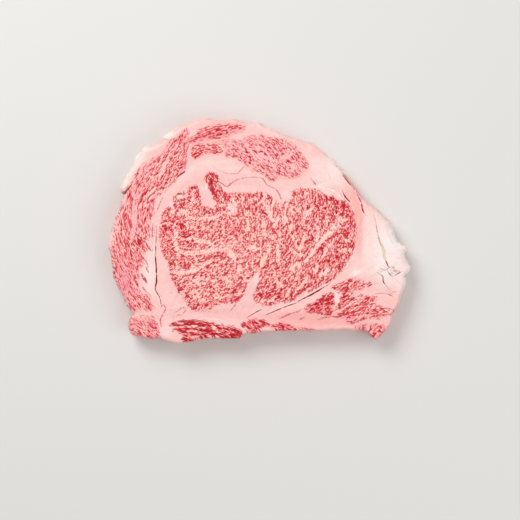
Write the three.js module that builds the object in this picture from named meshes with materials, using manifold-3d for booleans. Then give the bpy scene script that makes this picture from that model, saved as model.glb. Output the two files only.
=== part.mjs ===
// Marbled beef loin steak: one raw slice cut across the loin, lying flat on its lower cut face.
// Millimetres, +Z up. The origin is the middle of the bottom of the slice's bounding box.
// Seen from above, +X runs towards the thick lump of outer fat and +Y towards the fat cover.
import * as THREE from "three";
import Module from "manifold-3d";

const wasm = await Module();
wasm.setup();

// Driving dimensions
const sliceThickness = 20;
const sliceLength = 211.8;
const sliceWidth = 158.2;

// The cut side
const footRadius = 1.5; // rounding where the slice meets the board
const footInset = 1.35;
const sideBelly = 0.7; // how far the side bulges
const bellyHeight = 8.4; // height of the widest line of the side
const bellyUnderRim = 0.35; // what is left of the bulge where the rim starts
const rimHeightBase = 1.4; // height of the rolled rim where the side is upright
const rimHeightPerSlope = 2.6; // and its growth for each millimetre that the rim steps in
const rimHeightMost = 11;
const edgeWaveHeight = 0.22; // unevenness of the trimmed outline
const edgeWaveLength = 9;

// The upper cut face
const cutBelowRim = 0.6; // the cut lies a little under the nominal thickness, apart from its swells
const surfaceWaveHeight = 0.35; // slow unevenness of the knife cut
const surfaceWaveLength = 46;
const seamDepth = 0.9; // how far the fat seams sink below the lean
const seamHalfWidth = 3.2;

// Working room for the cuts, and resolution of the faceted solid
const clearAboveCut = 3; // the side wall and the blades run this far past the cut
const clearAround = 2;
const clearBelow = 1;
const outlineSteps = 256;
const reliefCell = 3.6;
const seamStepsPerPoint = 4;
const splitStepsPerPoint = 5;
const splitTipShare = 0.15; // where a split's ends are measured, as a share of one step

// The outline, counterclockwise from above, as [x, y, slope]. Slope is how far the upper rim steps in.
const outlineStretches = {
  tornCorner: [
    [80, -75.1, 1], [83.4, -75.7, 1], [85.6, -72, 1.2], [88.6, -69, 1.6], [92.2, -64.6, 1.8],
    [93, -58.8, 2], [97.4, -51.2, 2], [98.9, -45.6, 2.2], [101, -40.6, 2.4], [103, -35.4, 2.4],
    [101.4, -30.8, 1.6], [103.9, -29.2, 2], [105.8, -26.6, 2.6],
  ],
  fatLump: [
    [103.6, -21, 3.4], [101.6, -16.2, 2.2], [103.3, -12.4, 1.6], [100.4, -10.2, 2.4], [97, -6.4, 4.2],
    [94.4, 0, 4.6], [92, 5.6, 4], [88, 9.4, 3.4], [82, 15.2, 2.8], [74.8, 20.6, 2.6],
  ],
  fatCover: [
    [70.2, 26, 3], [64.4, 35, 3.2], [58, 42.8, 3], [53.2, 48.3, 2.6], [49.8, 51, 2],
    [44, 56, 1.8], [35, 61.6, 1.8], [25, 64.8, 1.8], [16, 67.2, 1.8], [10, 71, 2],
    [4, 72.7, 2], [0, 75.1, 2], [-10, 76.3, 2], [-18, 78, 1.8], [-26, 77.1, 1.6], [-39.6, 79, 2],
    [-51, 75.8, 2.6], [-59, 72.4, 3.2], [-68.2, 64.8, 3],
  ],
  flap: [
    [-74, 60.4, 3], [-80.6, 59, 2.8], [-83, 55.6, 3], [-86.4, 53.6, 4], [-89.6, 45, 4.2],
    [-95, 35.6, 4], [-97.2, 30, 3], [-95.8, 25.4, 2],
  ],
  flank: [
    [-97.2, 17.4, 2], [-100.6, 9, 1.8], [-103, 1, 2.2], [-105.5, -7, 2.2], [-104.4, -17, 2],
    [-102.6, -27, 2], [-100.6, -36.6, 2], [-96.4, -44.6, 2], [-92.6, -52, 1.8], [-88.2, -57.2, 1.4],
  ],
  lobe: [
    [-87.4, -59.4, 1.2], [-90.4, -61.4, 2], [-92.2, -66.4, 2.8], [-90.2, -71.6, 2.6],
    [-84, -74.3, 2.2], [-76, -75.3, 1.8], [-69.4, -74.8, 1.4],
  ],
  ribSide: [
    [-63.6, -77.4, 1.8], [-55.6, -79, 2], [-48, -77, 1.6], [-40, -75.5, 1.4], [-26, -75.2, 1.2],
    [-14.6, -75.2, 1], [-12.6, -72.8, 1], [-6, -71.9, 1.2], [8, -70.2, 1.2], [26, -69.9, 1.2],
    [44, -69.8, 1.2], [54, -69.2, 1.2], [75, -70.1, 1.2],
  ],
};

// Seams of fat between the muscles. The cut sinks a little along them.
const seams = [
  // round the eye of the loin, clockwise from its upper left
  [[-60, 24], [-40, 33], [-16, 32], [8, 30], [40, 31], [60, 24], [69, 12], [69.5, -12], [62, -26],
    [46, -38], [20, -51], [-8, -55], [-44, -58], [-62, -42], [-69, -22], [-73, -4], [-70, 12], [-60, 24]],
  // under the cap muscle, from the flank to the fat cover
  [[-71, 22], [-58, 36], [-47, 48], [-30, 52], [-16, 48], [4, 38], [30, 36], [36, 46], [30, 60]],
  // between the two layers of the cap
  [[-50, 62], [-34, 63], [-18, 67], [-4, 70]],
  // between the flank muscles and the lobe below them
  [[-87, -58], [-78, -57], [-71, -66], [-68, -75]],
  // above the strips on the rib side
  [[-62, -60], [-40, -60], [-14, -62], [10, -61], [34, -64], [66, -65], [90, -64]],
  // the white wedge between the two rib muscles
  [[54, -41], [55.5, -48], [53, -58]],
];

// Broad swells and hollows of the upper face: centre, radii and height
const swells = [
  { at: [0, -8], radii: [58, 34], height: 0.7 }, // eye of the loin
  { at: [92, -12], radii: [13, 20], height: 1.5 }, // lump of outer fat
  { at: [-34, 46], radii: [16, 9], height: -0.5 }, // kernel of soft fat
  { at: [-88, -4], radii: [13, 44], height: 0.4 }, // flank muscles
  { at: [-6, 60], radii: [44, 12], height: 0.4 }, // cap
  { at: [-82, -67], radii: [11, 9], height: -1.1 }, // lobe, which sags
];

// Splits that have opened in the fat: a V groove along a path, tapered at both ends
const splits = [
  { path: [[-72.6, -3], [-72.8, -14], [-72.5, -24], [-72, -33], [-72.9, -39.4], [-70.2, -45.2],
    [-69, -50.6]], width: 1.5, depth: 3.6 },
  { path: [[-67.4, -51.6], [-65.8, -54.6], [-68.3, -59], [-69.7, -64.6]], width: 0.9, depth: 1.8 },
  { path: [[47, -38.4], [40, -42.8], [34, -45.8], [29, -47.8]], width: 1.1, depth: 2.2 },
  { path: [[28.5, -49], [20, -51.2], [12, -54.2], [5, -58]], width: 0.9, depth: 1.6 },
  { path: [[2.6, -54], [-3.8, -58]], width: 0.9, depth: 1.4 },
  { path: [[58, 27], [60, 24], [63.4, 20.6]], width: 1.2, depth: 1.8 },
  { path: [[62, 36.2], [65.4, 31.6], [68.4, 27.8]], width: 1.1, depth: 1.8 },
  { path: [[71.4, 20], [72.2, 16], [72.8, 12.4]], width: 1.1, depth: 1.8 },
  { path: [[79.6, 12], [81.2, 4], [83.4, -8.4], [86.4, -12.4], [87.2, -18], [89, -23.6]],
    width: 1.5, depth: 3.4 },
  { path: [[87.4, -29], [87, -35.6], [91, -40.6]], width: 1.1, depth: 2.2 },
  { path: [[90, -28.6], [94, -30.4], [99, -28.6]], width: 1.4, depth: 2.4 },
];

// Knife slits through the outer fat: mouth, inner end, width at the mouth and lowest height
const knifeSlits = [
  { mouth: [-70.6, 65.6], end: [-64.4, 63.8], width: 1.9, floor: 2.5 },
  { mouth: [-98.6, 24.4], end: [-91.6, 30], width: 1.5, floor: 7 },
];

const beefMaterial = new THREE.MeshStandardMaterial({ color: 0xe39a97, roughness: 0.48, metalness: 0 });

// An indexed closed mesh as a solid for cutting.
function solidFrom(positions, triangles) {
  const mesh = new wasm.Mesh({
    numProp: 3,
    vertProperties: new Float32Array(positions),
    triVerts: new Uint32Array(triangles),
  });
  return new wasm.Manifold(mesh);
}

// A smooth plane path through a few points.
function smoothPath(points, steps) {
  const vectors = points.map(([x, y]) => new THREE.Vector3(x, y, 0));
  return new THREE.CatmullRomCurve3(vectors, false, "centripetal").getSpacedPoints(steps);
}

// Slow waves that look hand-cut: the mean of three sines that don't line up.
function waves(x, y, length) {
  const turn = (2 * Math.PI) / length;
  const along = Math.sin(x * turn + 1.3);
  const across = Math.sin(y * turn * 1.37 + 0.4);
  const slanting = Math.sin((x + y) * turn * 0.73 + 2.1);
  return (along + across + slanting) / 3;
}

function sampledOutline() {
  const points = Object.values(outlineStretches).flat();
  const curve = new THREE.CatmullRomCurve3(points.map((p) => new THREE.Vector3(...p)), true, "centripetal");
  const samples = curve.getSpacedPoints(outlineSteps).slice(0, outlineSteps);
  return samples.map((p, i) => {
    const before = samples[(i + outlineSteps - 1) % outlineSteps];
    const after = samples[(i + 1) % outlineSteps];
    const along = new THREE.Vector2(after.x - before.x, after.y - before.y).normalize();
    const wave = edgeWaveHeight * waves(p.x, p.y, edgeWaveLength);
    return {
      x: p.x + along.y * wave,
      y: p.y - along.x * wave,
      outward: new THREE.Vector2(along.y, -along.x),
      slope: p.z,
    };
  });
}

// Scales the traced outline to the slice's stated length and width, with its box centred on the origin.
function fittedOutline() {
  const outline = sampledOutline();
  const box = new THREE.Box2().setFromPoints(outline.map((p) => new THREE.Vector2(p.x, p.y)));
  const centre = box.getCenter(new THREE.Vector2());
  const size = box.getSize(new THREE.Vector2());
  const grownLength = sliceLength - 2 * sideBelly;
  const grownWidth = sliceWidth - 2 * sideBelly;
  return outline.map((p) => ({
    ...p,
    x: ((p.x - centre.x) * grownLength) / size.x,
    y: ((p.y - centre.y) * grownWidth) / size.y,
  }));
}

// The rings of the side wall from the board up. Each gives a point's height and how far it steps in.
const sideRings = [
  () => ({ z: 0, inset: footInset }),
  () => ({ z: footRadius, inset: 0 }),
  () => ({ z: bellyHeight, inset: -sideBelly }),
  (slope) => rimStep(slope, 0),
  (slope) => rimStep(slope, 0.5),
  (slope) => rimStep(slope, 0.85),
  (slope) => rimStep(slope, 1),
  (slope) => ({ z: sliceThickness + clearAboveCut, inset: slope }),
];

// The rim rolls in along a quarter of an ellipse. A steeper slope starts lower down the side.
function rimStep(slope, share) {
  const rimHeight = Math.min(rimHeightBase + rimHeightPerSlope * slope, rimHeightMost);
  const roll = 1 - Math.sqrt(1 - share * share);
  const left = 1 - share;
  return { z: sliceThickness - rimHeight * left, inset: slope * roll - bellyUnderRim * left };
}

function sideWall() {
  const outline = fittedOutline();
  const positions = [];
  for (const ring of sideRings) {
    for (const p of outline) {
      const { z, inset } = ring(p.slope);
      positions.push(p.x - p.outward.x * inset, p.y - p.outward.y * inset, z);
    }
  }
  const count = outline.length;
  const last = (sideRings.length - 1) * count;
  const triangles = [];
  for (let r = 0; r < last; r += count) {
    for (let i = 0; i < count; i++) {
      const next = (i + 1) % count;
      triangles.push(r + i, r + next, r + count + i, r + next, r + count + next, r + count + i);
    }
  }
  const ringPoints = (start) =>
    outline.map((p, i) => new THREE.Vector2(positions[3 * (start + i)], positions[3 * (start + i) + 1]));
  for (const [a, b, c] of THREE.ShapeUtils.triangulateShape(ringPoints(0), [])) triangles.push(c, b, a);
  for (const [a, b, c] of THREE.ShapeUtils.triangulateShape(ringPoints(last), [])) {
    triangles.push(last + a, last + b, last + c);
  }
  return solidFrom(positions, triangles);
}

const seamPaths = seams.map((points) => smoothPath(points, points.length * seamStepsPerPoint));

function distanceToPath(path, x, y) {
  let nearest = Infinity;
  for (let i = 1; i < path.length; i++) {
    const [a, b] = [path[i - 1], path[i]];
    const [dx, dy] = [b.x - a.x, b.y - a.y];
    const share = THREE.MathUtils.clamp(((x - a.x) * dx + (y - a.y) * dy) / (dx * dx + dy * dy), 0, 1);
    nearest = Math.min(nearest, Math.hypot(x - a.x - dx * share, y - a.y - dy * share));
  }
  return nearest;
}

function cutHeight(x, y) {
  let z = sliceThickness - cutBelowRim + surfaceWaveHeight * waves(x, y, surfaceWaveLength);
  for (const path of seamPaths) {
    z -= seamDepth * Math.exp(-((distanceToPath(path, x, y) / seamHalfWidth) ** 2));
  }
  for (const { at, radii, height } of swells) {
    z += height * Math.exp(-(((x - at[0]) / radii[0]) ** 2) - ((y - at[1]) / radii[1]) ** 2);
  }
  return z;
}

// A block whose top is the uneven cut face. Its bottom is a copy of the same grid, below the board.
function reliefBlock() {
  const columns = Math.ceil((sliceLength + 2 * clearAround) / reliefCell);
  const rows = Math.ceil((sliceWidth + 2 * clearAround) / reliefCell);
  const perRow = columns + 1;
  const layer = perRow * (rows + 1);
  const positions = [];
  const at = (i, j) => [(i - columns / 2) * reliefCell, (j - rows / 2) * reliefCell];
  for (const heightOf of [cutHeight, () => -clearBelow]) {
    for (let j = 0; j <= rows; j++) {
      for (let i = 0; i <= columns; i++) {
        const [x, y] = at(i, j);
        positions.push(x, y, heightOf(x, y));
      }
    }
  }
  const triangles = [];
  for (let j = 0; j < rows; j++) {
    for (let i = 0; i < columns; i++) {
      const [a, b] = [j * perRow + i, j * perRow + i + 1];
      const [c, d] = [a + perRow, b + perRow];
      triangles.push(a, b, d, a, d, c);
      triangles.push(layer + a, layer + d, layer + b, layer + a, layer + c, layer + d);
    }
  }
  const rim = [];
  for (let i = 0; i < columns; i++) rim.push(i);
  for (let j = 0; j < rows; j++) rim.push(j * perRow + columns);
  for (let i = columns; i > 0; i--) rim.push(rows * perRow + i);
  for (let j = rows; j > 0; j--) rim.push(j * perRow);
  rim.forEach((a, i) => {
    const b = rim[(i + 1) % rim.length];
    triangles.push(b, a, layer + a, b, layer + a, layer + b);
  });
  return solidFrom(positions, triangles);
}

// A blade with a V section that follows a split and shrinks to a point at both ends.
function splitBlade({ path, width, depth }) {
  const line = smoothPath(path, splitStepsPerPoint * path.length);
  const last = line.length - 1;
  const positions = [];
  const mouth = sliceThickness + clearAboveCut;
  line.forEach((p, i) => {
    const step = THREE.MathUtils.clamp(i, splitTipShare, last - splitTipShare);
    const share = Math.sqrt(Math.sin((Math.PI * step) / last));
    const along = line[Math.min(i + 1, last)].clone().sub(line[Math.max(i - 1, 0)]).normalize();
    const bottom = cutHeight(p.x, p.y) - depth * share;
    const half = ((width / 2) * (mouth - bottom)) / depth;
    positions.push(p.x - along.y * half, p.y + along.x * half, mouth);
    positions.push(p.x, p.y, bottom);
    positions.push(p.x + along.y * half, p.y - along.x * half, mouth);
  });
  const triangles = [0, 1, 2];
  for (let i = 0; i < last; i++) {
    for (let k = 0; k < 3; k++) {
      const [a, b] = [3 * i + k, 3 * i + ((k + 1) % 3)];
      triangles.push(a, a + 3, b, b, a + 3, b + 3);
    }
  }
  triangles.push(3 * last, 3 * last + 2, 3 * last + 1);
  return solidFrom(positions, triangles);
}

// A thin wedge that opens a knife slit from the side.
function slitWedge({ mouth, end, width, floor }) {
  const inward = new THREE.Vector2(end[0] - mouth[0], end[1] - mouth[1]).normalize();
  const [sx, sy] = [(-inward.y * width) / 2, (inward.x * width) / 2];
  const corners = [[mouth[0] - sx, mouth[1] - sy], end, [mouth[0] + sx, mouth[1] + sy]];
  const positions = [];
  for (const z of [floor, sliceThickness + clearAboveCut]) {
    for (const [x, y] of corners) positions.push(x, y, z);
  }
  const triangles = [0, 2, 1, 3, 4, 5];
  for (const [a, b] of [[0, 1], [1, 2], [2, 0]]) triangles.push(a, b, b + 3, a, b + 3, a + 3);
  return solidFrom(positions, triangles);
}

function steakSolid() {
  let solid = sideWall().intersect(reliefBlock());
  for (const split of splits) solid = solid.subtract(splitBlade(split));
  for (const slit of knifeSlits) solid = solid.subtract(slitWedge(slit));
  return solid;
}

// The largest body of a solid as a geometry, which leaves loose scraps of a cut behind.
function geometryFrom(solid) {
  const body = solid.decompose().sort((a, b) => b.volume() - a.volume())[0];
  const mesh = body.getMesh();
  const geometry = new THREE.BufferGeometry();
  geometry.setAttribute("position", new THREE.BufferAttribute(mesh.vertProperties, 3));
  geometry.setIndex(new THREE.BufferAttribute(mesh.triVerts, 1));
  geometry.computeVertexNormals();
  return geometry;
}

const steak = new THREE.Mesh(geometryFrom(steakSolid()), beefMaterial);
steak.name = "steak";

const group = new THREE.Group();
group.add(steak);
export default group;
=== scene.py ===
import bpy
import numpy as np
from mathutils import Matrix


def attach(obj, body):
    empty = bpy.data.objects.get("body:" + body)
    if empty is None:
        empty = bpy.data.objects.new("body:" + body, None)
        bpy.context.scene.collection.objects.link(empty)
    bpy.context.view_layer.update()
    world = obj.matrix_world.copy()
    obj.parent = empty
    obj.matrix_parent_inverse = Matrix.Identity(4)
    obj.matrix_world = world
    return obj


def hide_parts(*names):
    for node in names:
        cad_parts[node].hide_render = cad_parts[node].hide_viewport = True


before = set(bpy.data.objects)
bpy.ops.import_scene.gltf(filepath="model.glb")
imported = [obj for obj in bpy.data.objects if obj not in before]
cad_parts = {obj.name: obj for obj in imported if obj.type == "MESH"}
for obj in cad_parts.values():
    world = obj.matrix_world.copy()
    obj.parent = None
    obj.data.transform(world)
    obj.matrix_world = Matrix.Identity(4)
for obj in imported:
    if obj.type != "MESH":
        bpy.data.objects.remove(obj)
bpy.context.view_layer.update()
bpy.ops.object.select_all(action="DESELECT")
mm = 0.001
print("frame loaded")

# The muscles that show on the cut face. fat moves the balance towards fat, deep makes the lean redder,
# haze veils it in pink, and fade thins it out towards the muscle's edge. stretch makes the pattern finer
# along and across the streaks where it is above 1. grain gives the angle of the streaks at a few places,
# and order is how closely the pattern follows those angles.
muscles = {
    "eye": {
        "fat": 0.0, "deep": 0.5, "haze": 0.0, "stretch": (1.2, 1.0), "order": 4,
        "outline": [
            (-70.5, -3), (-69.5, 5), (-68.5, 11), (-66, 15), (-63, 17), (-60.7, 16), (-60.4, 19), (-60, 23),
            (-57, 26.8), (-53.4, 27.8), (-51.2, 27.4), (-50.4, 24.8), (-50, 28.6), (-48.6, 31), (-46, 32),
            (-43, 31.5), (-41.8, 27), (-40.5, 23), (-41, 19.5), (-38.5, 18), (-36, 17), (-33, 16),
            (-31, 17.5), (-29.5, 19.5), (-31.5, 22), (-34, 27), (-36, 31), (-36.3, 34), (-38.5, 36),
            (-38, 39), (-36, 41), (-33, 41.7), (-30.3, 40), (-28.5, 37), (-28.6, 35), (-30, 33.8),
            (-29, 32.5), (-27, 31.5), (-26, 29), (-23.5, 27.5), (-21, 26.5), (-18.5, 27.5), (-16, 27),
            (-10, 27), (-6, 27.5), (-4, 26.5), (-1, 28), (1.5, 27.5), (3.5, 25.5), (5, 27.5), (7, 25.5),
            (9, 23), (10.5, 21.5), (15, 19), (18, 20.5), (21.5, 21.5), (23.5, 23), (22.5, 27), (24, 29),
            (28, 30.2), (35, 29.5), (41, 29), (46, 25.5), (49, 24), (52, 25), (53.5, 22.5), (58.5, 22),
            (61, 20.5), (64, 17.5), (66.5, 11), (67.5, 6), (67.5, -3), (66.8, -10), (64.5, -16),
            (61.5, -22), (57, -28), (54.5, -30), (52.5, -33), (45, -37.5), (37, -41.5), (29, -44.5),
            (21, -49.5), (13, -49.5), (9, -51.5), (4, -52), (-3, -49.5), (-4.5, -46), (-2.5, -40),
            (-0.5, -34), (-2, -30.5), (-5, -31.5), (-6, -35), (-9, -37.5), (-9.5, -40), (-11.5, -44.5),
            (-14.5, -48.5), (-20, -50.3), (-29, -51), (-36, -55), (-45, -55.5), (-51, -52), (-54.5, -46),
            (-53, -43.5), (-57, -43.5), (-58.5, -39.5), (-61.5, -34.5), (-63, -28), (-64, -22),
            (-66, -19.5), (-69, -13), (-69.6, -8),
        ],
        "grain": [
            (-64, 8, 60), (-64, -6, 40), (-62, -24, 50), (-52, 24, 70), (-52, 4, 40), (-52, -9, 15),
            (-50, -24, 25), (-54, -38, 50), (-44, -48, 30), (-44, 22, 100), (-38, 5, 25), (-36, -14, 20),
            (-30, -30, 40), (-28, -45, 30), (-32, 26, 110), (-24, 22, 120), (-20, 5, 35), (-14, -4, 55),
            (-15, -25, 40), (-17, -45, 28), (-10, 18, 50), (-2, 20, 60), (0, 2, 60), (3, 13, 95),
            (0, -20, 50), (5, -28, 45), (2, -43, 55), (14, -44, 62), (12, 10, 85), (12, -12, 65),
            (20, -20, 45), (24, 8, 80), (26, -34, 58), (28, 22, 90), (34, -6, 72), (36, 12, 75),
            (40, -22, 58), (46, 20, 100), (50, 5, 65), (48, -26, 55), (58, 12, 70), (58, -12, 50),
            (62, -2, 75), (56, -20, 40), (36, -38, 48),
        ],
    },
    "capUpper": {
        "fat": -0.03, "fade": 0.05, "deep": 0.34, "haze": 0.32, "stretch": (0.6, 1.3), "order": 2,
        "outline": [
            (-44, 70.3), (-40, 71.8), (-35, 73.3), (-28, 74.3), (-20, 74.5), (-14, 74), (-10.5, 73),
            (-12, 71.3), (-18, 69.5), (-21, 67.2), (-25, 66), (-31, 65.5), (-36, 64.5), (-42, 64),
            (-48, 62), (-50.5, 63.5), (-46, 66.5), (-43, 68.5),
        ],
        "grain": [(-46, 66, 20), (-35, 70, 16), (-22, 72, 14), (-14, 72.5, 8)],
    },
    "capMiddle": {
        "fat": -0.01, "fade": 0.06, "deep": 0.36, "haze": 0.1, "stretch": (0.75, 1.25), "order": 2,
        "outline": [
            (-47.5, 59.5), (-44, 61.2), (-36, 61.5), (-30, 62), (-26, 61.5), (-24.5, 58.5), (-26, 56),
            (-30, 55), (-36, 55), (-41, 53.5), (-45, 51), (-47, 52.5), (-47.6, 56),
        ],
        "grain": [(-43, 56, 28), (-36, 59, 10), (-28, 58, -15)],
    },
    "capCentre": {
        "fat": 0.115, "fade": 0.06, "deep": 0.64, "haze": 0.43, "stretch": (0.8, 1.05), "order": 3,
        "outline": [
            (-28, 63.5), (-19, 64), (-12, 63), (-10.5, 65.5), (-6, 66.5), (-1, 67.5), (4, 66.5), (8, 64.5),
            (13, 64.5), (17, 63.5), (21, 62), (25, 59.5), (28, 56), (30.5, 52), (33.5, 48), (33.5, 44),
            (30, 41.5), (28.5, 38.5), (20, 37.5), (15.5, 38.8), (11, 35.7), (8, 36), (5, 38.5), (2, 41),
            (-2, 42.5), (-5.5, 43), (-3, 45.5), (-5, 47), (-8.5, 46.5), (-12, 48.5), (-15, 51), (-18, 52.5),
            (-23.5, 54.2), (-24.4, 57.5), (-24, 60), (-26, 61.6),
        ],
        "grain": [
            (-24, 62, -20), (-15, 58, -38), (-8, 51, -42), (-6, 60, -38), (2, 44, -45), (4, 62, -25),
            (10, 40, -20), (12, 58, -45), (16, 47, -50), (22, 58, -50), (24, 46, -60), (30, 48, -60),
            (24, 39, 10),
        ],
    },
    "flank": {
        "fat": 0.04, "fade": 0.05, "deep": 0.5, "haze": 0.22, "stretch": (0.72, 1.4), "order": 4,
        "outline": [
            (-51.5, 72), (-56, 67.5), (-59.5, 64.3), (-62.5, 63.4), (-64, 60), (-67, 55.5), (-72, 51.5),
            (-77.5, 49.5), (-83, 45), (-86.5, 40), (-89, 35), (-92.5, 30), (-95.2, 25.5), (-96, 22),
            (-97.5, 15), (-99.5, 8), (-101, 0), (-102.5, -6), (-103.8, -12), (-103, -20), (-102, -26),
            (-100.5, -32), (-98.2, -38), (-95, -43), (-92.5, -49), (-90, -54.5), (-86, -56), (-82, -54),
            (-79, -55.8), (-76, -55.5), (-74.5, -53), (-77, -50), (-76.5, -46), (-79, -43), (-81.5, -45),
            (-84, -42), (-85.5, -36), (-84, -31), (-85, -27), (-82, -24), (-80.3, -20), (-80.4, -14.5),
            (-77, -13), (-78.6, -9.5), (-79.5, -7), (-77, -4), (-77, 4), (-76, 10), (-74, 12), (-74.3, 17),
            (-73, 22), (-71, 25.5), (-66, 28), (-64, 30.5), (-60.5, 33), (-58, 37.5), (-54, 40.8),
            (-52, 45), (-50.3, 50), (-49.8, 56), (-49.5, 61), (-50.5, 66), (-50, 69.5),
        ],
        "grain": [
            (-54, 68, 55), (-58, 58, 62), (-54, 48, 60), (-64, 50, 60), (-62, 40, 52), (-72, 44, 52),
            (-82, 42, 58), (-70, 30, 32), (-80, 32, 48), (-90, 30, 62), (-78, 20, 62), (-90, 16, 80),
            (-78, 8, 85), (-92, 4, 112), (-99, 0, 105), (-80, -2, 110), (-94, -8, 128), (-84, -8, 118),
            (-100, -18, 100), (-90, -18, 100), (-80, -16, 135), (-97, -30, 105), (-88, -34, 112),
            (-91, -48, 112), (-86, -52, 125), (-78, -50, 135),
        ],
    },
    "lobe": {
        "fat": 0.09, "deep": 0.27, "haze": 0.32, "stretch": (0.7, 1.3), "order": 2,
        "outline": [
            (-91, -62), (-88, -60.5), (-84, -59.5), (-76, -59.5), (-73.5, -62), (-72, -66), (-71, -70),
            (-70, -73.5), (-73, -75), (-78, -75.2), (-84, -74), (-89, -71.5), (-91.4, -68.5), (-91.8, -65),
        ],
        "grain": [(-87, -67, 150), (-80, -70, 150), (-76, -62, 125), (-75, -72, 135)],
    },
    "ribStripLeft": {
        "fat": -0.11, "deep": 1.22, "haze": 0.0, "stretch": (0.62, 1.35), "order": 2,
        "outline": [
            (-63, -65.2), (-60, -64), (-55, -62.5), (-50, -61.7), (-44, -62.2), (-36, -63), (-32.3, -63.8),
            (-30.5, -65.3), (-27, -65.3), (-25, -66.8), (-22, -66.2), (-18, -67), (-15, -68.5),
            (-12.5, -70.5), (-13.6, -73), (-14.6, -75.4), (-22, -75.6), (-40, -76), (-47, -77), (-53, -78),
            (-55.5, -76), (-54, -72.8), (-57, -71), (-61, -70.2), (-60, -68.3), (-63, -67),
        ],
        "grain": [
            (-56, -67, 3), (-44, -66, 0), (-40, -72, -12), (-34, -68, -25), (-25, -70, -8), (-17, -71, -16),
        ],
    },
    "ribStripMiddle": {
        "fat": -0.1, "fade": 0.04, "deep": 0.62, "haze": 0.05, "stretch": (0.7, 1.1), "order": 1,
        "outline": [
            (-13.4, -65), (-11, -63.6), (-7, -62), (-3, -61.4), (2, -62), (5, -64), (7.6, -65.6),
            (4.5, -66.6), (1.5, -66.8), (-0.5, -69.4), (-5, -70.4), (-9, -69.4), (-11.5, -67),
        ],
        "grain": [(-9, -65, -40), (-4, -65, -30), (4, -65, -25)],
    },
    "ribStripRight": {
        "fat": -0.08, "fade": 0.06, "deep": 0.22, "haze": 0.2, "stretch": (0.8, 1.1), "order": 1,
        "outline": [
            (8, -66.6), (10, -65.2), (14, -64.4), (18, -65), (22, -66.3), (25, -68), (31, -68.4), (37, -69),
            (36, -70.2), (22, -70.2), (14, -69), (9.4, -68),
        ],
        "grain": [(12, -66, -6), (21, -67.5, -30), (33, -69.3, 0)],
    },
    "ribInner": {
        "fat": -0.1, "fade": 0.03, "deep": 0.7, "haze": 0.05, "stretch": (0.8, 1.1), "order": 2,
        "outline": [
            (31, -54.5), (33, -52), (37, -50.5), (40, -48.5), (43, -46), (46, -44.2), (49, -43.3),
            (51.6, -44.8), (51.3, -48.5), (52, -51), (50.3, -54), (51.3, -56), (48, -59), (44, -58.5),
            (40, -57.5), (35, -57), (32, -56.3),
        ],
        "grain": [(35, -54, 35), (43, -51, 42), (48, -47, 45), (46, -56, 15)],
    },
    "ribOuter": {
        "fat": -0.03, "fade": 0.1, "deep": 0.75, "haze": 0.0, "stretch": (0.8, 1.05), "order": 3,
        "outline": [
            (50.5, -39.6), (54, -37.4), (58, -35.8), (62, -34.5), (66, -33.8), (70, -35), (73.5, -36.2),
            (77, -36), (77.3, -38.6), (73, -39.4), (70, -40.8), (65, -42.5), (61.5, -45.5), (64, -46.2),
            (68, -45.6), (74, -45.4), (78, -45.7), (81.5, -47), (80.5, -50), (79, -51.8), (84, -53),
            (88, -54), (92, -55), (94, -57), (88, -59.3), (84, -61), (79, -61.5), (74, -61), (70, -63),
            (66, -65), (61, -65.2), (60, -62), (56, -60.3), (52, -60), (53.5, -57.8), (56, -55.6),
            (52.8, -55.3), (53.4, -53), (55.8, -49.5), (55.4, -45), (55, -41.8), (52, -40.3),
        ],
        "grain": [
            (53, -39, 5), (60, -39, 45), (68, -37, 40), (59, -49, 42), (64, -48, 42), (72, -48, 35),
            (64, -56, 30), (72, -53, 38), (78, -57, 25), (86, -57, 0), (62, -63, 15), (90, -56, -20),
        ],
    },
    "spike": {
        "fat": -0.03, "fade": 0.06, "deep": 0.3, "haze": 0.3, "stretch": (0.8, 1.1), "order": 1,
        "outline": [
            (66.5, -67.3), (71, -66.2), (75, -65.6), (79, -65.6), (84, -66), (88.5, -67.4), (88, -70),
            (85, -73), (83.5, -76), (80, -76), (77, -71.6), (73, -70), (69, -68.8),
        ],
        "grain": [(72, -67, 5), (80, -69, 60), (84, -71, 65)],
    },
}

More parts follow.
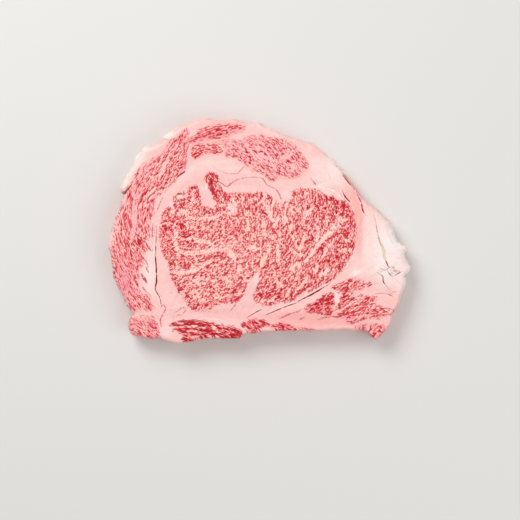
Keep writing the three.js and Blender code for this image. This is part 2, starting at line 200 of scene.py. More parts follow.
# Broad veins of fat through the muscles, as x, y and width.
fatVeins = [
    [(-63, 13, 1.5), (-61, 13.6, 3), (-59, 12.6, 1.2)],
    [(-57.4, 22.6, 1), (-55.4, 24.2, 3.2), (-53, 24, 1.2)],
    [(-50.6, 26, 1.6), (-51, 22.6, 1.6), (-51.6, 19, 1.2)],
    [(-60.6, 16.8, 1.8), (-59.4, 14.4, 1.8), (-56.6, 13, 1.4)],
    [(-57.5, 12.5, 2), (-54, 13.6, 4.4), (-49.6, 12.4, 2)],
    [(-50, 10.5, 1.4), (-46, 9, 2), (-38, 8.8, 2.4), (-31, 9.6, 1.8), (-25, 13.4, 1.2)],
    [(-48.4, 19, 1), (-46.6, 23, 1.6), (-47, 26, 1)],
    [(-59, -12, 1.6), (-53, -14.8, 3), (-48, -15.4, 3.2), (-40, -14.4, 2.6), (-33, -13, 3), (-28, -12, 4),
     (-22.5, -13, 3), (-19, -17, 3.6), (-17, -20.6, 1)],
    [(-47, -4.6, 1.2), (-42.5, -6.4, 3), (-36, -8, 2.6), (-31, -11, 2.4)],
    [(-60, -5.6, 1.4), (-58.6, -3, 3), (-57.4, 0.6, 1.2)],
    [(-62.4, -28.6, 1.4), (-55, -29.2, 2.4), (-48, -28, 2.2), (-43.4, -27, 2), (-38.6, -23.6, 1.8),
     (-33, -20.4, 1.4)],
    [(-22, 19.4, 1.4), (-19, 16, 5.2), (-16.4, 12.8, 2)],
    [(-28, 18.6, 1.2), (-25.6, 18.4, 2.2), (-24, 18.4, 1)],
    [(-20, 22.6, 1.6), (-18, 21, 3), (-17, 19, 1.4)],
    [(3.6, 24.6, 1.2), (4, 19.4, 2), (5.6, 15.6, 2.4), (7.2, 11.4, 2.6), (9, 7.6, 1.4)],
    [(9.6, 21, 1.4), (8.8, 16.4, 1.6), (8, 12.6, 1.4)],
    [(3, 8.4, 1.2), (2.4, 3.8, 2.2), (3.4, -2, 1.2)],
    [(-9, -9.6, 1.6), (-5, -12, 4.6), (-1.6, -12.4, 1.4)],
    [(6, -8.4, 1.2), (6.4, -13.4, 2.6), (5, -17.6, 0.8), (2, -21, 3.2), (0.8, -25.6, 1), (-0.6, -29, 1),
     (-2.6, -33, 3.2), (-6, -38, 3.8), (-7.4, -44, 4.2), (-8, -52, 5)],
    [(22.4, 18.4, 1), (22.4, 14.6, 2), (23.4, 10.6, 1)],
    [(54.6, 13, 1.2), (56.4, 7.6, 3.8), (52.6, 3.6, 3.4), (49.6, -0.6, 4), (45, -5, 3.4), (41, -9, 2.6),
     (37.4, -14, 2.4), (34.6, -18.6, 2), (30, -22.6, 1.8), (24, -28.6, 1)],
    [(57, 7.4, 2), (61.6, 8.6, 1.2)],
    [(51, -8.6, 1.2), (47.6, -11.4, 2.6), (45.4, -15.4, 1.8), (44, -19, 1)],
    [(55.4, -14.2, 1), (59, -13.4, 2.4), (64.6, -13, 1.2)],
    [(59.6, -6.4, 1), (61.6, -6.8, 2.6), (63.4, -8, 1)],
    [(34.4, 14.6, 1.4), (34, 12.6, 3), (33, 10.4, 1)],
    [(48, 14.4, 1), (47.6, 9.4, 1.6), (46.6, 4.6, 1)],
    [(47.6, -26.4, 1.4), (45, -29.4, 4), (41.6, -32, 1.6)],
    [(26.6, -12, 1), (28.6, -16, 1.8), (27.6, -20, 1)],
    [(10, 3, 1), (11.4, 6.6, 1.8), (12.4, 10.6, 1)],
    [(-88, 37, 1), (-88.6, 28, 1.6), (-87.2, 21, 2.2), (-87.6, 14, 3), (-87.4, 6, 3.2), (-88.8, -1, 2.6),
     (-90, -7, 1.4)],
    [(-79.4, 40, 1), (-75, 37.4, 1.8), (-70, 35, 1)],
    [(-81.8, 18, 1), (-79.8, 23, 1.8), (-75.2, 28, 1.7), (-70.6, 31.6, 1.3)],
    [(-76, 22.6, 1), (-71.6, 27.2, 1.4), (-67, 28.8, 1.1)],
    [(-69.6, 38.4, 1), (-67, 46, 1.7), (-62.6, 54.4, 1.7), (-57.8, 60.6, 1.2)],
    [(-85, 38.6, 1.2), (-82, 44.6, 1.9), (-78, 48.6, 1.3)],
    [(56.6, -53.6, 1), (63, -51.6, 1.6), (70, -50.4, 1)],
    [(59, -57.4, 0.8), (64.6, -54.6, 1.3), (70, -52.8, 0.8)],
    [(62.6, -62.6, 1), (70, -59.8, 1.4), (77, -59.2, 0.8)],
    [(-31.6, -68.6, 1.4), (-32.2, -67.4, 2.4), (-33.4, -66, 1)],
    [(-62, -67.4, 1.6), (-52, -66.6, 1), (-44, -66.6, 1.2), (-39, -67.4, 1.4)],
    [(-60, -70, 1), (-50, -69.6, 0.9), (-42, -70.4, 0.8)],
    [(-34, -36.6, 1), (-32.6, -35, 1.2), (-34.8, -33.6, 0.8)],
    [(-51, 8.6, 1), (-50.8, 5, 2), (-50, 2.4, 1.4)],
    [(-60, -4.6, 1), (-56.6, -4.4, 2), (-53, -5.4, 1.2), (-48.6, -5.4, 1.4)],
    [(-58.8, -5, 1.4), (-58.8, -9, 1.6), (-57.4, -13, 2.2)],
    [(-24, 12.6, 1), (-21, 12.4, 2.2), (-17.6, 12, 1.6)],
    [(-8.8, 9, 1.2), (-8, 5, 1.6), (-8.6, 0, 1)],
    [(-17.6, -5, 1), (-17.4, -7.4, 1.8), (-18.6, -9.6, 1)],
    [(18.6, 19, 1), (18, 13, 1.8), (18.2, 8, 1.5), (17.6, 4, 1)],
    [(22.6, 8.6, 1.2), (22.4, 5, 1.6), (21.4, 0.6, 1)],
    [(31.6, 17, 1), (31.8, 12, 1.6), (31.2, 7, 1.2)],
    [(37, 16.4, 1.2), (35.8, 13.8, 3.2), (34.4, 11.6, 1.4)],
    [(40.6, 3.6, 1.2), (41, 0, 1.8), (40.4, -4, 2), (40.6, -8, 2.4)],
    [(31, 0, 1), (31.2, -4, 1.8), (30.2, -8, 1.4), (28.4, -12, 1.8)],
    [(23.6, -3, 1), (24.6, -6.6, 1.4), (25.6, -9.6, 1.4)],
    [(12.6, -9.6, 1), (12.4, -13.6, 1.9), (13.4, -19, 2), (12, -22.4, 1.4)],
    [(10.6, -34.6, 1.2), (13.4, -36.4, 2.6), (15.8, -38.6, 2)],
    [(20.6, -27, 1.2), (23.4, -25.4, 2.2), (27, -22.4, 2.2)],
    [(39.6, -22.6, 1.2), (39.7, -26, 2), (38.8, -29.6, 1)],
    [(23, -44.6, 1.1), (26.6, -41, 1.4), (29.6, -37.4, 1.5), (32.4, -33, 1.6), (33.6, -30, 1)],
    [(18.2, -46, 1.2), (19.8, -42.8, 2), (20.6, -40.6, 1)],
    [(29.6, -44.4, 1.2), (31.4, -43, 1.9), (33.8, -40.4, 1.1)],
    [(10, -48, 0.9), (5.6, -48.6, 1.8), (1.6, -48.2, 1.3)],
    [(-47.4, -22.6, 1.4), (-46.2, -25.4, 3), (-44, -27, 1.8)],
    [(-59.6, -20, 0.9), (-58.3, -24, 1.3), (-58.4, -28, 2.4)],
    [(-15, -23, 1.2), (-14, -26, 2.6), (-14.2, -30.4, 1)],
    [(-25, -31.6, 0.9), (-22.6, -34.6, 1.2), (-19, -35.6, 1)],
    [(-45.6, -34, 1), (-43, -36.4, 1.6), (-42.6, -39, 0.9)],
    [(-47, -44, 0.9), (-45, -47, 1.4), (-43.2, -44, 0.9)],
    [(-31.6, -47, 1.1), (-28, -46.6, 1.7), (-25.4, -46, 1)],
    [(-20.6, -44.2, 0.9), (-16, -44, 1.4), (-12, -43.2, 0.9)],
]

# Dark fibres and clots of lean that stand out, as x, y and width.
leanStrands = [
    [(-37.6, 37.4, 1.6), (-35.6, 40, 2), (-32, 40.4, 1.8), (-30.2, 38.4, 2.2), (-28.8, 35.4, 1.4)],
    [(-36, 37, 1.6), (-33.6, 35.4, 2.2), (-34, 31.4, 3), (-32.4, 27, 2.6), (-30.4, 23.4, 2)],
    [(-28, 31.4, 1.2), (-26, 29, 1.8), (-23.6, 27, 1.2)],
    [(-43.6, 31, 1.4), (-43, 28.4, 2.4), (-42.4, 26.6, 1)],
    [(-49.4, 28.6, 1), (-49.2, 25, 1.5), (-48.8, 21.6, 1.8), (-48, 18, 1.6), (-47.8, 16, 0.8)],
    [(-59.6, 22, 1.2), (-58, 25, 1.4), (-55, 26.8, 1.3), (-52.4, 26.6, 1.2), (-52.2, 23, 1.4), (-53, 20, 1)],
    [(-49, 29.6, 1.1), (-46.4, 31, 1.3), (-43.6, 30.6, 1.2)],
    [(-66.6, 12, 1.2), (-64.6, 15, 1.2), (-62, 15.4, 1.2)],
    [(-58.6, 21.4, 1.8), (-57, 21.8, 2.4)],
    [(-55.6, 17, 2), (-53.6, 16.4, 2)],
    [(-68, 3.4, 2), (-65.6, 2.4, 2.6), (-63, 3, 1.6)],
    [(-56.4, 4.6, 2), (-53.4, 2.4, 3.4), (-52, 0.6, 2)],
    [(-50.4, 0.4, 1.6), (-50, -3.6, 2), (-53, -4.4, 1)],
    [(-53, -12.6, 1.2), (-50, -10.6, 2), (-48.6, -8.6, 1.2)],
    [(-56, -27, 1.4), (-54, -24, 2), (-51, -25.6, 2.8), (-48.4, -25.4, 1.8)],
    [(-64, -23.6, 1.6), (-61, -22.2, 2), (-59, -24.4, 1.4)],
    [(-59, -38.4, 1.6), (-56.8, -38.8, 3.2), (-57, -42.6, 1.2)],
    [(-32.6, -17.6, 2.2), (-28.6, -18, 2.8), (-24.6, -17.6, 2)],
    [(-14.4, -38.6, 1.4), (-11, -38.6, 2.6), (-9.6, -38.4, 1.6)],
    [(-11.4, -44.4, 1.6), (-15, -47, 1.2), (-18.6, -49.4, 1.2)],
    [(-4, -45.6, 1.8), (-1.6, -44.8, 2.2), (1.4, -43, 1.2)],
    [(-3.6, -42, 1.2), (-2, -39, 1.8), (0.6, -37.6, 1)],
    [(5, -52, 0.8), (9, -51.2, 1.4), (11, -50, 0.8)],
    [(4.6, -46, 1.2), (7.6, -44.6, 2), (10, -43.6, 1)],
    [(22, -49, 1.4), (24, -46, 1.6), (28, -43.6, 1.4), (32, -40.4, 1)],
    [(11, -48.4, 1.4), (13.4, -44, 1.8), (15, -40.6, 1.4)],
    [(13.4, -49, 1), (16.4, -45.4, 1.6), (18, -42, 1)],
    [(55.6, 10, 2.4), (57.6, 12, 2.6), (59, 14.6, 1.4)],
    [(49, 21.6, 1.8), (51.4, 22.6, 3), (53, 21.6, 1.6)],
    [(55.6, 16.4, 1.4), (58.6, 17.6, 2.2), (60.4, 19, 1.4)],
    [(52.6, 15.6, 1.4), (50.4, 14.6, 2), (48.4, 15.2, 1)],
    [(59.6, -11, 1.6), (62.6, -10.6, 1.4), (65, -11, 1.2)],
    [(1.6, 26.8, 1.6), (0.6, 22.6, 1.8), (-2.8, 19.6, 1.6)],
    [(2.6, 15.6, 1), (2.4, 12, 1.6), (3, 9.6, 1)],
    [(5.6, 26.6, 1), (8, 22.6, 1.8), (7.4, 18.4, 1.2)],
    [(-9.6, 15.8, 1.2), (-8, 16.2, 1.8), (-6, 15.4, 1)],
    [(-20, 10.4, 0.8), (-17, 11, 1), (-15.4, 11, 0.8)],
    [(57.4, -17, 1), (60.4, -16.2, 1.4), (64.4, -16.4, 1.2)],
    [(51, -39.2, 1.2), (53.6, -38.8, 2.2), (56, -39, 1.2)],
    [(53.8, -54.8, 1.2), (56.4, -51.6, 2.2), (59, -50.6, 1.6)],
    [(46, -48.4, 1.6), (48.4, -47.6, 2.8), (50, -46, 1.6)],
    [(59, -41.4, 1.8), (61.4, -40.4, 2), (64, -38.4, 1)],
    [(60, -56.4, 1.2), (63.4, -54.6, 1.8), (67, -54.4, 1)],
    [(-88.6, 22.4, 1.4), (-88, 21.4, 2.4), (-89.6, 21, 1)],
    [(-87, -6, 1.6), (-84.6, -8, 4), (-82.6, -6.4, 3), (-82, -11, 1.4)],
    [(-85, 2, 1.4), (-82, 4.4, 1.8), (-81, 6.4, 1.2)],
    [(-69.4, 37.4, 1), (-68.6, 38.6, 1.6)],
    [(-65, 33.6, 1.2), (-64.6, 35.6, 2), (-64, 36.6, 1)],
    [(-74.6, 22, 2), (-74, 21.2, 1.4)],
    [(-78.4, 23, 1), (-75, 26.8, 1.4), (-71, 29.4, 1.6), (-67, 30.4, 1.2)],
    [(-85, 16, 1), (-84, 20.8, 1.6), (-80.4, 26, 1.7), (-76.2, 29.6, 1.6), (-72.2, 31.8, 1.4),
     (-68.6, 34, 1)],
    [(-77, 19.8, 1), (-72.6, 25, 1.4), (-67.6, 27, 1)],
    [(-87, 36, 0.9), (-84.6, 42.4, 1.2), (-80.8, 48, 1.2), (-76, 50.8, 0.9)],
    [(-82.6, 41.4, 0.8), (-79.8, 46.4, 1), (-77.6, 48, 0.8)],
    [(-96.2, -7.4, 1), (-93, -9.4, 1.4), (-89.6, -13.4, 1)],
    [(-97.6, -31, 0.8), (-97, -34.8, 1.2)],
    [(-81.6, -48.8, 1.4), (-79, -51, 1.8), (-77, -50.8, 1)],
    [(-59.4, 63.2, 1.2), (-56.4, 66, 1.6), (-53.2, 70.6, 1)],
    [(-14, 51, 1.2), (-11.6, 50, 1), (-9.4, 48, 0.8)],
    [(-7.4, 51, 1.6), (-6.8, 49, 1.8), (-8.4, 47.4, 1)],
    [(2.4, 42, 1), (5, 39.6, 1.6), (7.4, 36.6, 1.4), (10.6, 36, 1)],
    [(9.6, 41.6, 0.8), (11.6, 40.4, 1.4), (14, 41, 0.9)],
    [(20.6, 37.8, 0.8), (24, 39.2, 1.2), (28, 38.6, 0.9)],
    [(20.4, 48.6, 1.6), (22, 48, 2.4), (22.6, 49.4, 1.2)],
    [(21, 52.6, 1), (22, 51, 1.4)],
    [(14.6, 56.4, 1.2), (16.4, 55.4, 2), (16, 53, 1)],
    [(20, 58.6, 1.4), (21.4, 57.8, 2)],
    [(-63, -65.6, 1.4), (-57, -66, 1.6), (-52, -65, 1.4), (-49, -63.4, 1.2)],
    [(-39, -67.6, 1.2), (-36.4, -69, 2.2), (-34, -69.8, 1)],
    [(-24, -73, 1.4), (-19, -73.2, 1.8), (-14.6, -72.8, 1)],
]

# Thin lines in the fat, as x, y and width. dark is 0 for a faint thread and 1 for an open split. The tint is
# up to 1 for a cream-brown line of painted shade along a shallow crack or step, and -1 for a white line that
# is partly a crease and partly a painted highlight.
lines = [
    {"dark": 0.34, "path": [
        (-29, 35, 0.8), (-26.2, 33.2, 0.8), (-23.4, 31.3, 0.9), (-21.2, 32.5, 1.2), (-18.4, 34.6, 0.7),
        (-14, 36.8, 0.5), (-6.4, 37.7, 0.5), (-1, 37.7, 0.6), (2.4, 36.4, 1), (4.6, 33, 0.6),
        (7.6, 31.2, 0.5), (10.6, 29.8, 0.6), (13.2, 27, 1), (14.6, 23.4, 1.2),
    ]},
    {"dark": 0.1, "path": [(-29, 42.6, 0.5), (-23, 40.4, 0.6), (-18, 40.3, 0.7)]},
    {"dark": 0.3, "path": [(-18, 40.3, 0.6), (-15, 41, 0.8), (-11.4, 44.8, 0.6)]},
    {"dark": 0.22, "path": [(-22.4, 54.6, 0.7), (-20, 52.8, 0.8), (-17, 52, 0.7)]},
    {"dark": 1.0, "path": [
        (-72.4, 3, 0.4), (-72.6, -4, 0.5), (-72.8, -10, 0.7), (-73, -16, 0.9), (-72.7, -24, 1.1),
        (-72.3, -31, 1), (-72.4, -36, 1.2), (-73.3, -40, 1), (-72, -43.4, 0.7),
    ]},
    {"dark": 0.75, "path": [(-72, -43.4, 0.8), (-70.2, -46.4, 0.6), (-69, -51.6, 0.7)]},
    {"dark": 0.38, "path": [
        (-67, -52, 0.6), (-66, -54.6, 0.8), (-68.2, -58.8, 0.8), (-69.6, -62, 0.9), (-69.2, -66, 0.6),
    ]},
    {"dark": 1.0, "path": [
        (48, -37.4, 0.5), (44, -39.8, 0.9), (38, -43.4, 1.3), (33, -46, 1), (27.4, -48.8, 0.5),
    ]},
    {"dark": 0.8, "path": [(27, -49.8, 0.4), (20, -52.2, 0.7), (12, -55.4, 0.9), (5, -58.4, 0.6)]},
    {"dark": 0.8, "path": [(1.2, -54.8, 0.5), (-2, -56.4, 0.8), (-5, -58.2, 0.7), (-8.4, -60.2, 0.5)]},
    {"dark": 0.8, "path": [(57, 29.4, 0.3), (58.6, 26.4, 0.6), (60.2, 23.8, 1.1), (63, 20.6, 0.6)]},
    {"dark": 0.5, "shadeTint": 0.62, "path": [
        (53.4, 46.2, 0.5), (57.6, 41.4, 0.9), (62, 36, 1.2), (66.4, 30, 1.2), (68.6, 27.2, 0.8),
    ]},
    {"dark": 0.7, "path": [(58.4, 38.8, 0.4), (61.4, 35, 0.6), (63.4, 32.4, 0.4)]},
    {"dark": 0.85, "path": [(68.2, 25.6, 0.6), (69.6, 23, 0.9), (71, 20.4, 0.6)]},
    {"dark": 0.95, "path": [(71.4, 18.6, 0.8), (72, 15.4, 1), (72.8, 13, 0.8), (74.4, 11.2, 0.4)]},
    # The lump's crack: its cream-brown tint is painted shade at the step down from the plateau.
    {"dark": 0.45, "shadeTint": 0.4, "path": [
        (79.8, 10.6, 0.4), (81.4, 5.4, 0.6), (82.4, -1, 0.7), (83.6, -6, 1), (84.4, -8.4, 1.2),
    ]},
    {"dark": 0.4, "shadeTint": 1, "path": [
        (84.4, -8.4, 1.2), (85.8, -11, 1.9), (86.8, -14, 2.5), (87.2, -17.6, 2.1), (88.2, -21, 1.2),
    ]},
    {"dark": 0.65, "shadeTint": 0.2, "path": [(88, -20.6, 0.8), (89.2, -23.2, 1), (90.4, -25.4, 0.6)]},
    {"dark": 1.0, "path": [
        (83.2, -29.6, 0.4), (86, -31.6, 0.7), (86.4, -35, 0.9), (88, -37.6, 0.7), (90.2, -40.4, 0.5),
    ]},
    {"dark": 0.7, "shadeTint": 0.15, "path": [(89.8, -29, 0.6), (91, -30, 1.3), (91.8, -31, 0.7)]},
    {"dark": 0.6, "shadeTint": 0.3, "path": [(94.6, -30.8, 0.5), (96.6, -29.8, 1), (98.8, -28.6, 0.7)]},
    {"dark": 0.45, "shadeTint": 0.4, "path": [(90.8, -25.4, 0.5), (93, -25, 0.8), (95, -26.8, 0.6)]},
    {"dark": 0.4, "shadeTint": 0.5, "path": [(84.4, -26, 0.5), (87, -27.2, 0.7), (89, -26.8, 0.5)]},
    {"dark": 0.4, "shadeTint": 0.6, "path": [(92.6, -27.4, 0.5), (94.6, -28.2, 0.7), (96.6, -27.4, 0.5)]},
    {"dark": 0.25, "shadeTint": 0.5, "path": [(80.6, -44, 0.5), (84.6, -43.4, 0.7), (88.4, -43.8, 0.6)]},
    {"dark": 0.5, "path": [(90.6, -44.4, 0.8), (91.8, -45, 0.9)]},
    {"dark": 0.25, "shadeTint": 0.6, "path": [(90.4, -41, 0.4), (93.6, -42.6, 0.7), (96.2, -42, 0.4)]},
    {"dark": 0.46, "path": [(-82.4, -30.6, 1.4), (-80.8, -33.2, 2.3), (-79.4, -35.6, 1.2)]},
    {"dark": 0.4, "path": [(-79, -26.6, 1.1), (-78.4, -27.8, 1)]},
    {"dark": 0.4, "path": [(-81.4, -40, 1.1), (-80.4, -41.4, 0.9)]},
    {"dark": 0.28, "path": [(-75, 4.4, 0.7), (-75.2, 0.6, 1), (-75.4, -3.6, 0.9)]},
    {"dark": 0.3, "path": [(-68.4, 23, 0.6), (-69.8, 20, 0.9), (-71.6, 15.4, 0.6)]},
    {"dark": 0.42, "path": [(-79.8, -8.2, 0.8), (-78.4, -11, 1), (-76.4, -13.4, 0.6)]},
    {"dark": 0.3, "path": [(-83, -17, 0.7), (-81.4, -19, 0.9), (-79.6, -21, 0.8), (-78.6, -23.4, 0.6)]},
    {"dark": 0.55, "path": [(-57.6, 38, 1.1), (-56, 39.4, 1.2), (-53, 41.4, 1.3)]},
    {"dark": 0.4, "path": [(36.4, 36.2, 0.5), (37.8, 34.4, 0.8), (39.2, 32.8, 0.6)]},
    {"dark": 0.0, "path": [
        (-60.4, -61.6, 0.6), (-60.2, -58, 0.7), (-57, -55.4, 0.9), (-54, -53.4, 0.8), (-51.8, -55, 0.9),
        (-54.4, -58.4, 1), (-58, -58.6, 0.7),
    ]},
    {"dark": 0.3, "path": [(-19.6, -54.6, 0.9), (-18, -52.8, 0.7), (-16.6, -50.6, 0.6)]},
    {"dark": 0.2, "path": [
        (14.6, -60.8, 0.9), (18.6, -59, 1.4), (22, -57.6, 0.9), (26, -56.6, 1.2), (28.6, -55, 0.7),
    ]},
    {"dark": 0.3, "path": [(28.6, -61.6, 1), (31, -60.4, 0.7)]},
    {"dark": 0.24, "path": [(42, -61.6, 0.9), (45.6, -60.4, 1.1), (51, -59.8, 0.8), (56, -59.4, 0.9)]},
    {"dark": 0.26, "path": [(64.6, -64.4, 1), (69, -62.8, 1.1), (75, -61.2, 0.8)]},
    {"dark": 0.55, "path": [(-95.6, 26.2, 1), (-93, 28.8, 1), (-90.4, 32, 0.8), (-88.8, 34.6, 0.5)]},
    # The white lines below are partly creases and partly painted highlights: the one near (68, -29) is a
    # painted glint, and the one from (62.6, 40.4) is a painted highlight along the rim.
    {"dark": 0.3, "shadeTint": -1, "path": [(37, 31, 0.4), (47.6, 30, 0.8), (53, 27.4, 0.9), (57.6, 22.8, 0.6)]},
    {"dark": 0.3, "shadeTint": -1, "path": [(40.6, 31.4, 0.4), (45, 33.6, 0.7), (50.4, 34.6, 0.4)]},
    {"dark": 0.3, "shadeTint": -1, "path": [(66.4, -30.4, 1), (68.6, -28.8, 2), (70.6, -28.6, 0.8)]},
    {"dark": 0.3, "shadeTint": -1, "path": [(62.6, 40.4, 0.4), (66.6, 34, 0.7), (70.8, 26.6, 0.6)]},
    {"dark": 0.3, "shadeTint": -1, "path": [(58.6, -26.4, 0.4), (62, -22.4, 0.6), (63.6, -19.6, 0.4)]},
]


def curveThrough(points, perSpan=4, closed=False):
    # A smooth Catmull-Rom line through a few points. Whatever follows x and y in a point, such as a
    # width, is carried along.
    p = np.array(points, float)
    if closed:
        p = np.vstack([p[-1:], p, p[:2]])
    else:
        p = np.vstack([2 * p[0] - p[1], p, 2 * p[-1] - p[-2]])
    share = (np.arange(perSpan) / perSpan)[:, None]
    spans = []
    for a, b, c, d in zip(p[:-3], p[1:-2], p[2:-1], p[3:]):
        square = a - 2.5 * b + 2 * c - 0.5 * d
        cube = 1.5 * (b - c) + 0.5 * (d - a)
        spans.append(b + share * (c - a) / 2 + share ** 2 * square + share ** 3 * cube)
    spans.append(spans[0][:1] if closed else p[-2:-1])
    return np.vstack(spans)


def measure(path, x, y):
    # For each place: distance to the path, the same signed by its side, and what the path carries there.
    near = np.full(x.shape, np.inf)
    side, carried = np.zeros(x.shape), np.zeros(x.shape)
    for a, b in zip(path[:-1], path[1:]):
        ex, ey = b[:2] - a[:2]
        share = np.clip(((x - a[0]) * ex + (y - a[1]) * ey) / (ex * ex + ey * ey), 0, 1)
        dx, dy = x - a[0] - ex * share, y - a[1] - ey * share
        distance = np.hypot(dx, dy)
        closer = distance < near
        near = np.where(closer, distance, near)
        side = np.where(closer, np.copysign(distance, ex * dy - ey * dx), side)
        if len(a) > 2:
            carried = np.where(closer, a[2] + (b[2] - a[2]) * share, carried)
    return near, side, carried


def insideLoop(loop, x, y):
    # Whether each place is inside a closed path: it crosses an odd number of sides on its way out.
    odd = np.zeros(x.shape, bool)
    for (ax, ay), (bx, by) in zip(loop[:-1], loop[1:]):
        if ay != by:
            odd ^= ((ay > y) != (by > y)) & (x < (bx - ax) * (y - ay) / (by - ay) + ax)
    return odd


# The map of the cut face: a fine grid of values that the mesh and its material read. Muscles, strokes and
# lines are worked out as far as their margins, and what lies further off keeps the values for off. Each
# span of a line is a curve of lineSteps steps.
chart = {
    "step": 0.5, "halfLength": 112, "halfWidth": 86, "lineSteps": 6,
    "muscleMargin": 10, "strokeMargin": 5, "lineMargin": 4,
    "offMuscle": -20.0, "offStroke": -3.0, "offLine": 9.0,
    "inwardMost": 6, "deepMost": 1.6, "hazeReach": 1,
}
chartX, chartY = np.meshgrid(*(np.arange(-half, half + chart["step"] / 2, chart["step"])
                               for half in (chart["halfLength"], chart["halfWidth"])))


def windowAround(path, margin):
    # The rows and columns of the chart that a path and a margin round it cover.
    low = path[:, :2].min(axis=0) - margin
    high = path[:, :2].max(axis=0) + margin
    columns, rows = (slice(max(0, int((a + half) / chart["step"])), int((b + half) / chart["step"]) + 2)
                     for a, b, half in zip(low, high, (chart["halfLength"], chart["halfWidth"])))
    return rows, columns


# How the grain is fitted to its angles, and how far apart in the pattern the muscles are taken, so that no
# two look alike.
grainFit = {"samples": 40, "softening": 2, "falloff": 3, "apart": 40}


def grainOf(muscle, loop):
    # Smooth coordinates along and across the streaks, as polynomials fitted to the muscle's grain angles.
    given = np.array(muscle["grain"], float)
    centre, size = loop.mean(axis=0), np.ptp(loop, axis=0).max() / 2
    low, high = loop.min(axis=0), loop.max(axis=0)
    px, py = np.meshgrid(*(np.linspace(a, b, grainFit["samples"]) for a, b in zip(low, high)))
    keep = insideLoop(loop, px, py)
    px, py = px[keep], py[keep]
    away = np.hypot(px[:, None] - given[:, 0], py[:, None] - given[:, 1])
    weight = 1 / (away + grainFit["softening"]) ** grainFit["falloff"]
    angle = np.radians((weight * given[:, 2]).sum(axis=1) / weight.sum(axis=1))
    count = muscle["order"] + 1
    powers = [(i, j) for i in range(count) for j in range(count - i) if i + j]
    sx, sy = (px - centre[0]) / size, (py - centre[1]) / size
    slopeX = np.stack([i * sx ** max(i - 1, 0) * sy ** j for i, j in powers], axis=1)
    slopeY = np.stack([j * sx ** i * sy ** max(j - 1, 0) for i, j in powers], axis=1)
    slopes = np.vstack([slopeX, slopeY]) / size
    along, across = (np.linalg.lstsq(slopes, np.concatenate(aims), rcond=None)[0]
                     for aims in ((np.cos(angle), np.sin(angle)), (-np.sin(angle), np.cos(angle))))

    def at(x, y):
        terms = [((x - centre[0]) / size) ** i * ((y - centre[1]) / size) ** j for i, j in powers]
        return sum(c * t for c, t in zip(along, terms)), sum(c * t for c, t in zip(across, terms))

    return at


def overlay(wholes, values, part, closer):
    # Writes each value into its map, in one part of it, where its shape is the closest so far.
    for whole, value in zip(wholes, values):
        whole[part] = np.where(closer, value, whole[part])


# The edge of a muscle that fades: the width over which its lean thins out, the most of that, and how far
# the edge moves outward for it, in millimetres.
fading = {"width": 2.6, "most": 1.4, "outward": 6}


def drawMuscles():
    inward = np.full(chartX.shape, chart["offMuscle"])
    fat, deep, haze = (np.zeros(chartX.shape) for _ in range(3))
    along, across = chartX.copy(), chartY.copy()
    for number, muscle in enumerate(muscles.values()):
        loop = curveThrough(muscle["outline"], closed=True)
        part = windowAround(loop, chart["muscleMargin"])
        x, y = chartX[part], chartY[part]
        near = measure(loop, x, y)[0]
        signed = np.where(insideLoop(loop, x, y), near, -near)
        fade = muscle.get("fade", 0)
        fatHere = muscle["fat"] + fade * np.clip(1 - signed / fading["width"], 0, fading["most"])
        signed = signed + fading["outward"] * fade
        u, v = grainOf(muscle, loop)(x, y)
        u = u * muscle["stretch"][0] + grainFit["apart"] * number
        v = v * muscle["stretch"][1]
        overlay((inward, fat, deep, haze, along, across),
                (signed, fatHere, muscle["deep"], muscle["haze"], u, v), part, signed > inward[part])
    return inward, fat, deep, haze * (inward > -chart["hazeReach"]), along, across


def drawStrokes(strokes):
    # How deep each place lies inside the nearest of many strokes, in millimetres, and negative outside.
    depth = np.full(chartX.shape, chart["offStroke"])
    for stroke in strokes:
        path = curveThrough(stroke)
        part = windowAround(path, chart["strokeMargin"])
        near, _, width = measure(path, chartX[part], chartY[part])
        depth[part] = np.maximum(depth[part], width / 2 - near)
    return depth


def drawLines():
    near, side = (np.full(chartX.shape, chart["offLine"]) for _ in range(2))
    half, dark, shadeTint = (np.zeros(chartX.shape) for _ in range(3))
    for line in lines:
        path = curveThrough(line["path"], chart["lineSteps"])
        part = windowAround(path, chart["lineMargin"])
        far, signed, width = measure(path, chartX[part], chartY[part])
        overlay((near, side, half, dark, shadeTint), (far, signed, width / 2, line["dark"], line.get("shadeTint", 0)),
                part, far < near[part])
    return near, side, half, dark, shadeTint


def spots(rows, x, y):
    # The sum of soft oval spots.
    total = np.zeros(x.shape)
    for spotX, spotY, alongX, alongY, amount in rows:
        total += amount * np.exp(-((x - spotX) / alongX) ** 2 - ((y - spotY) / alongY) ** 2)
    return total
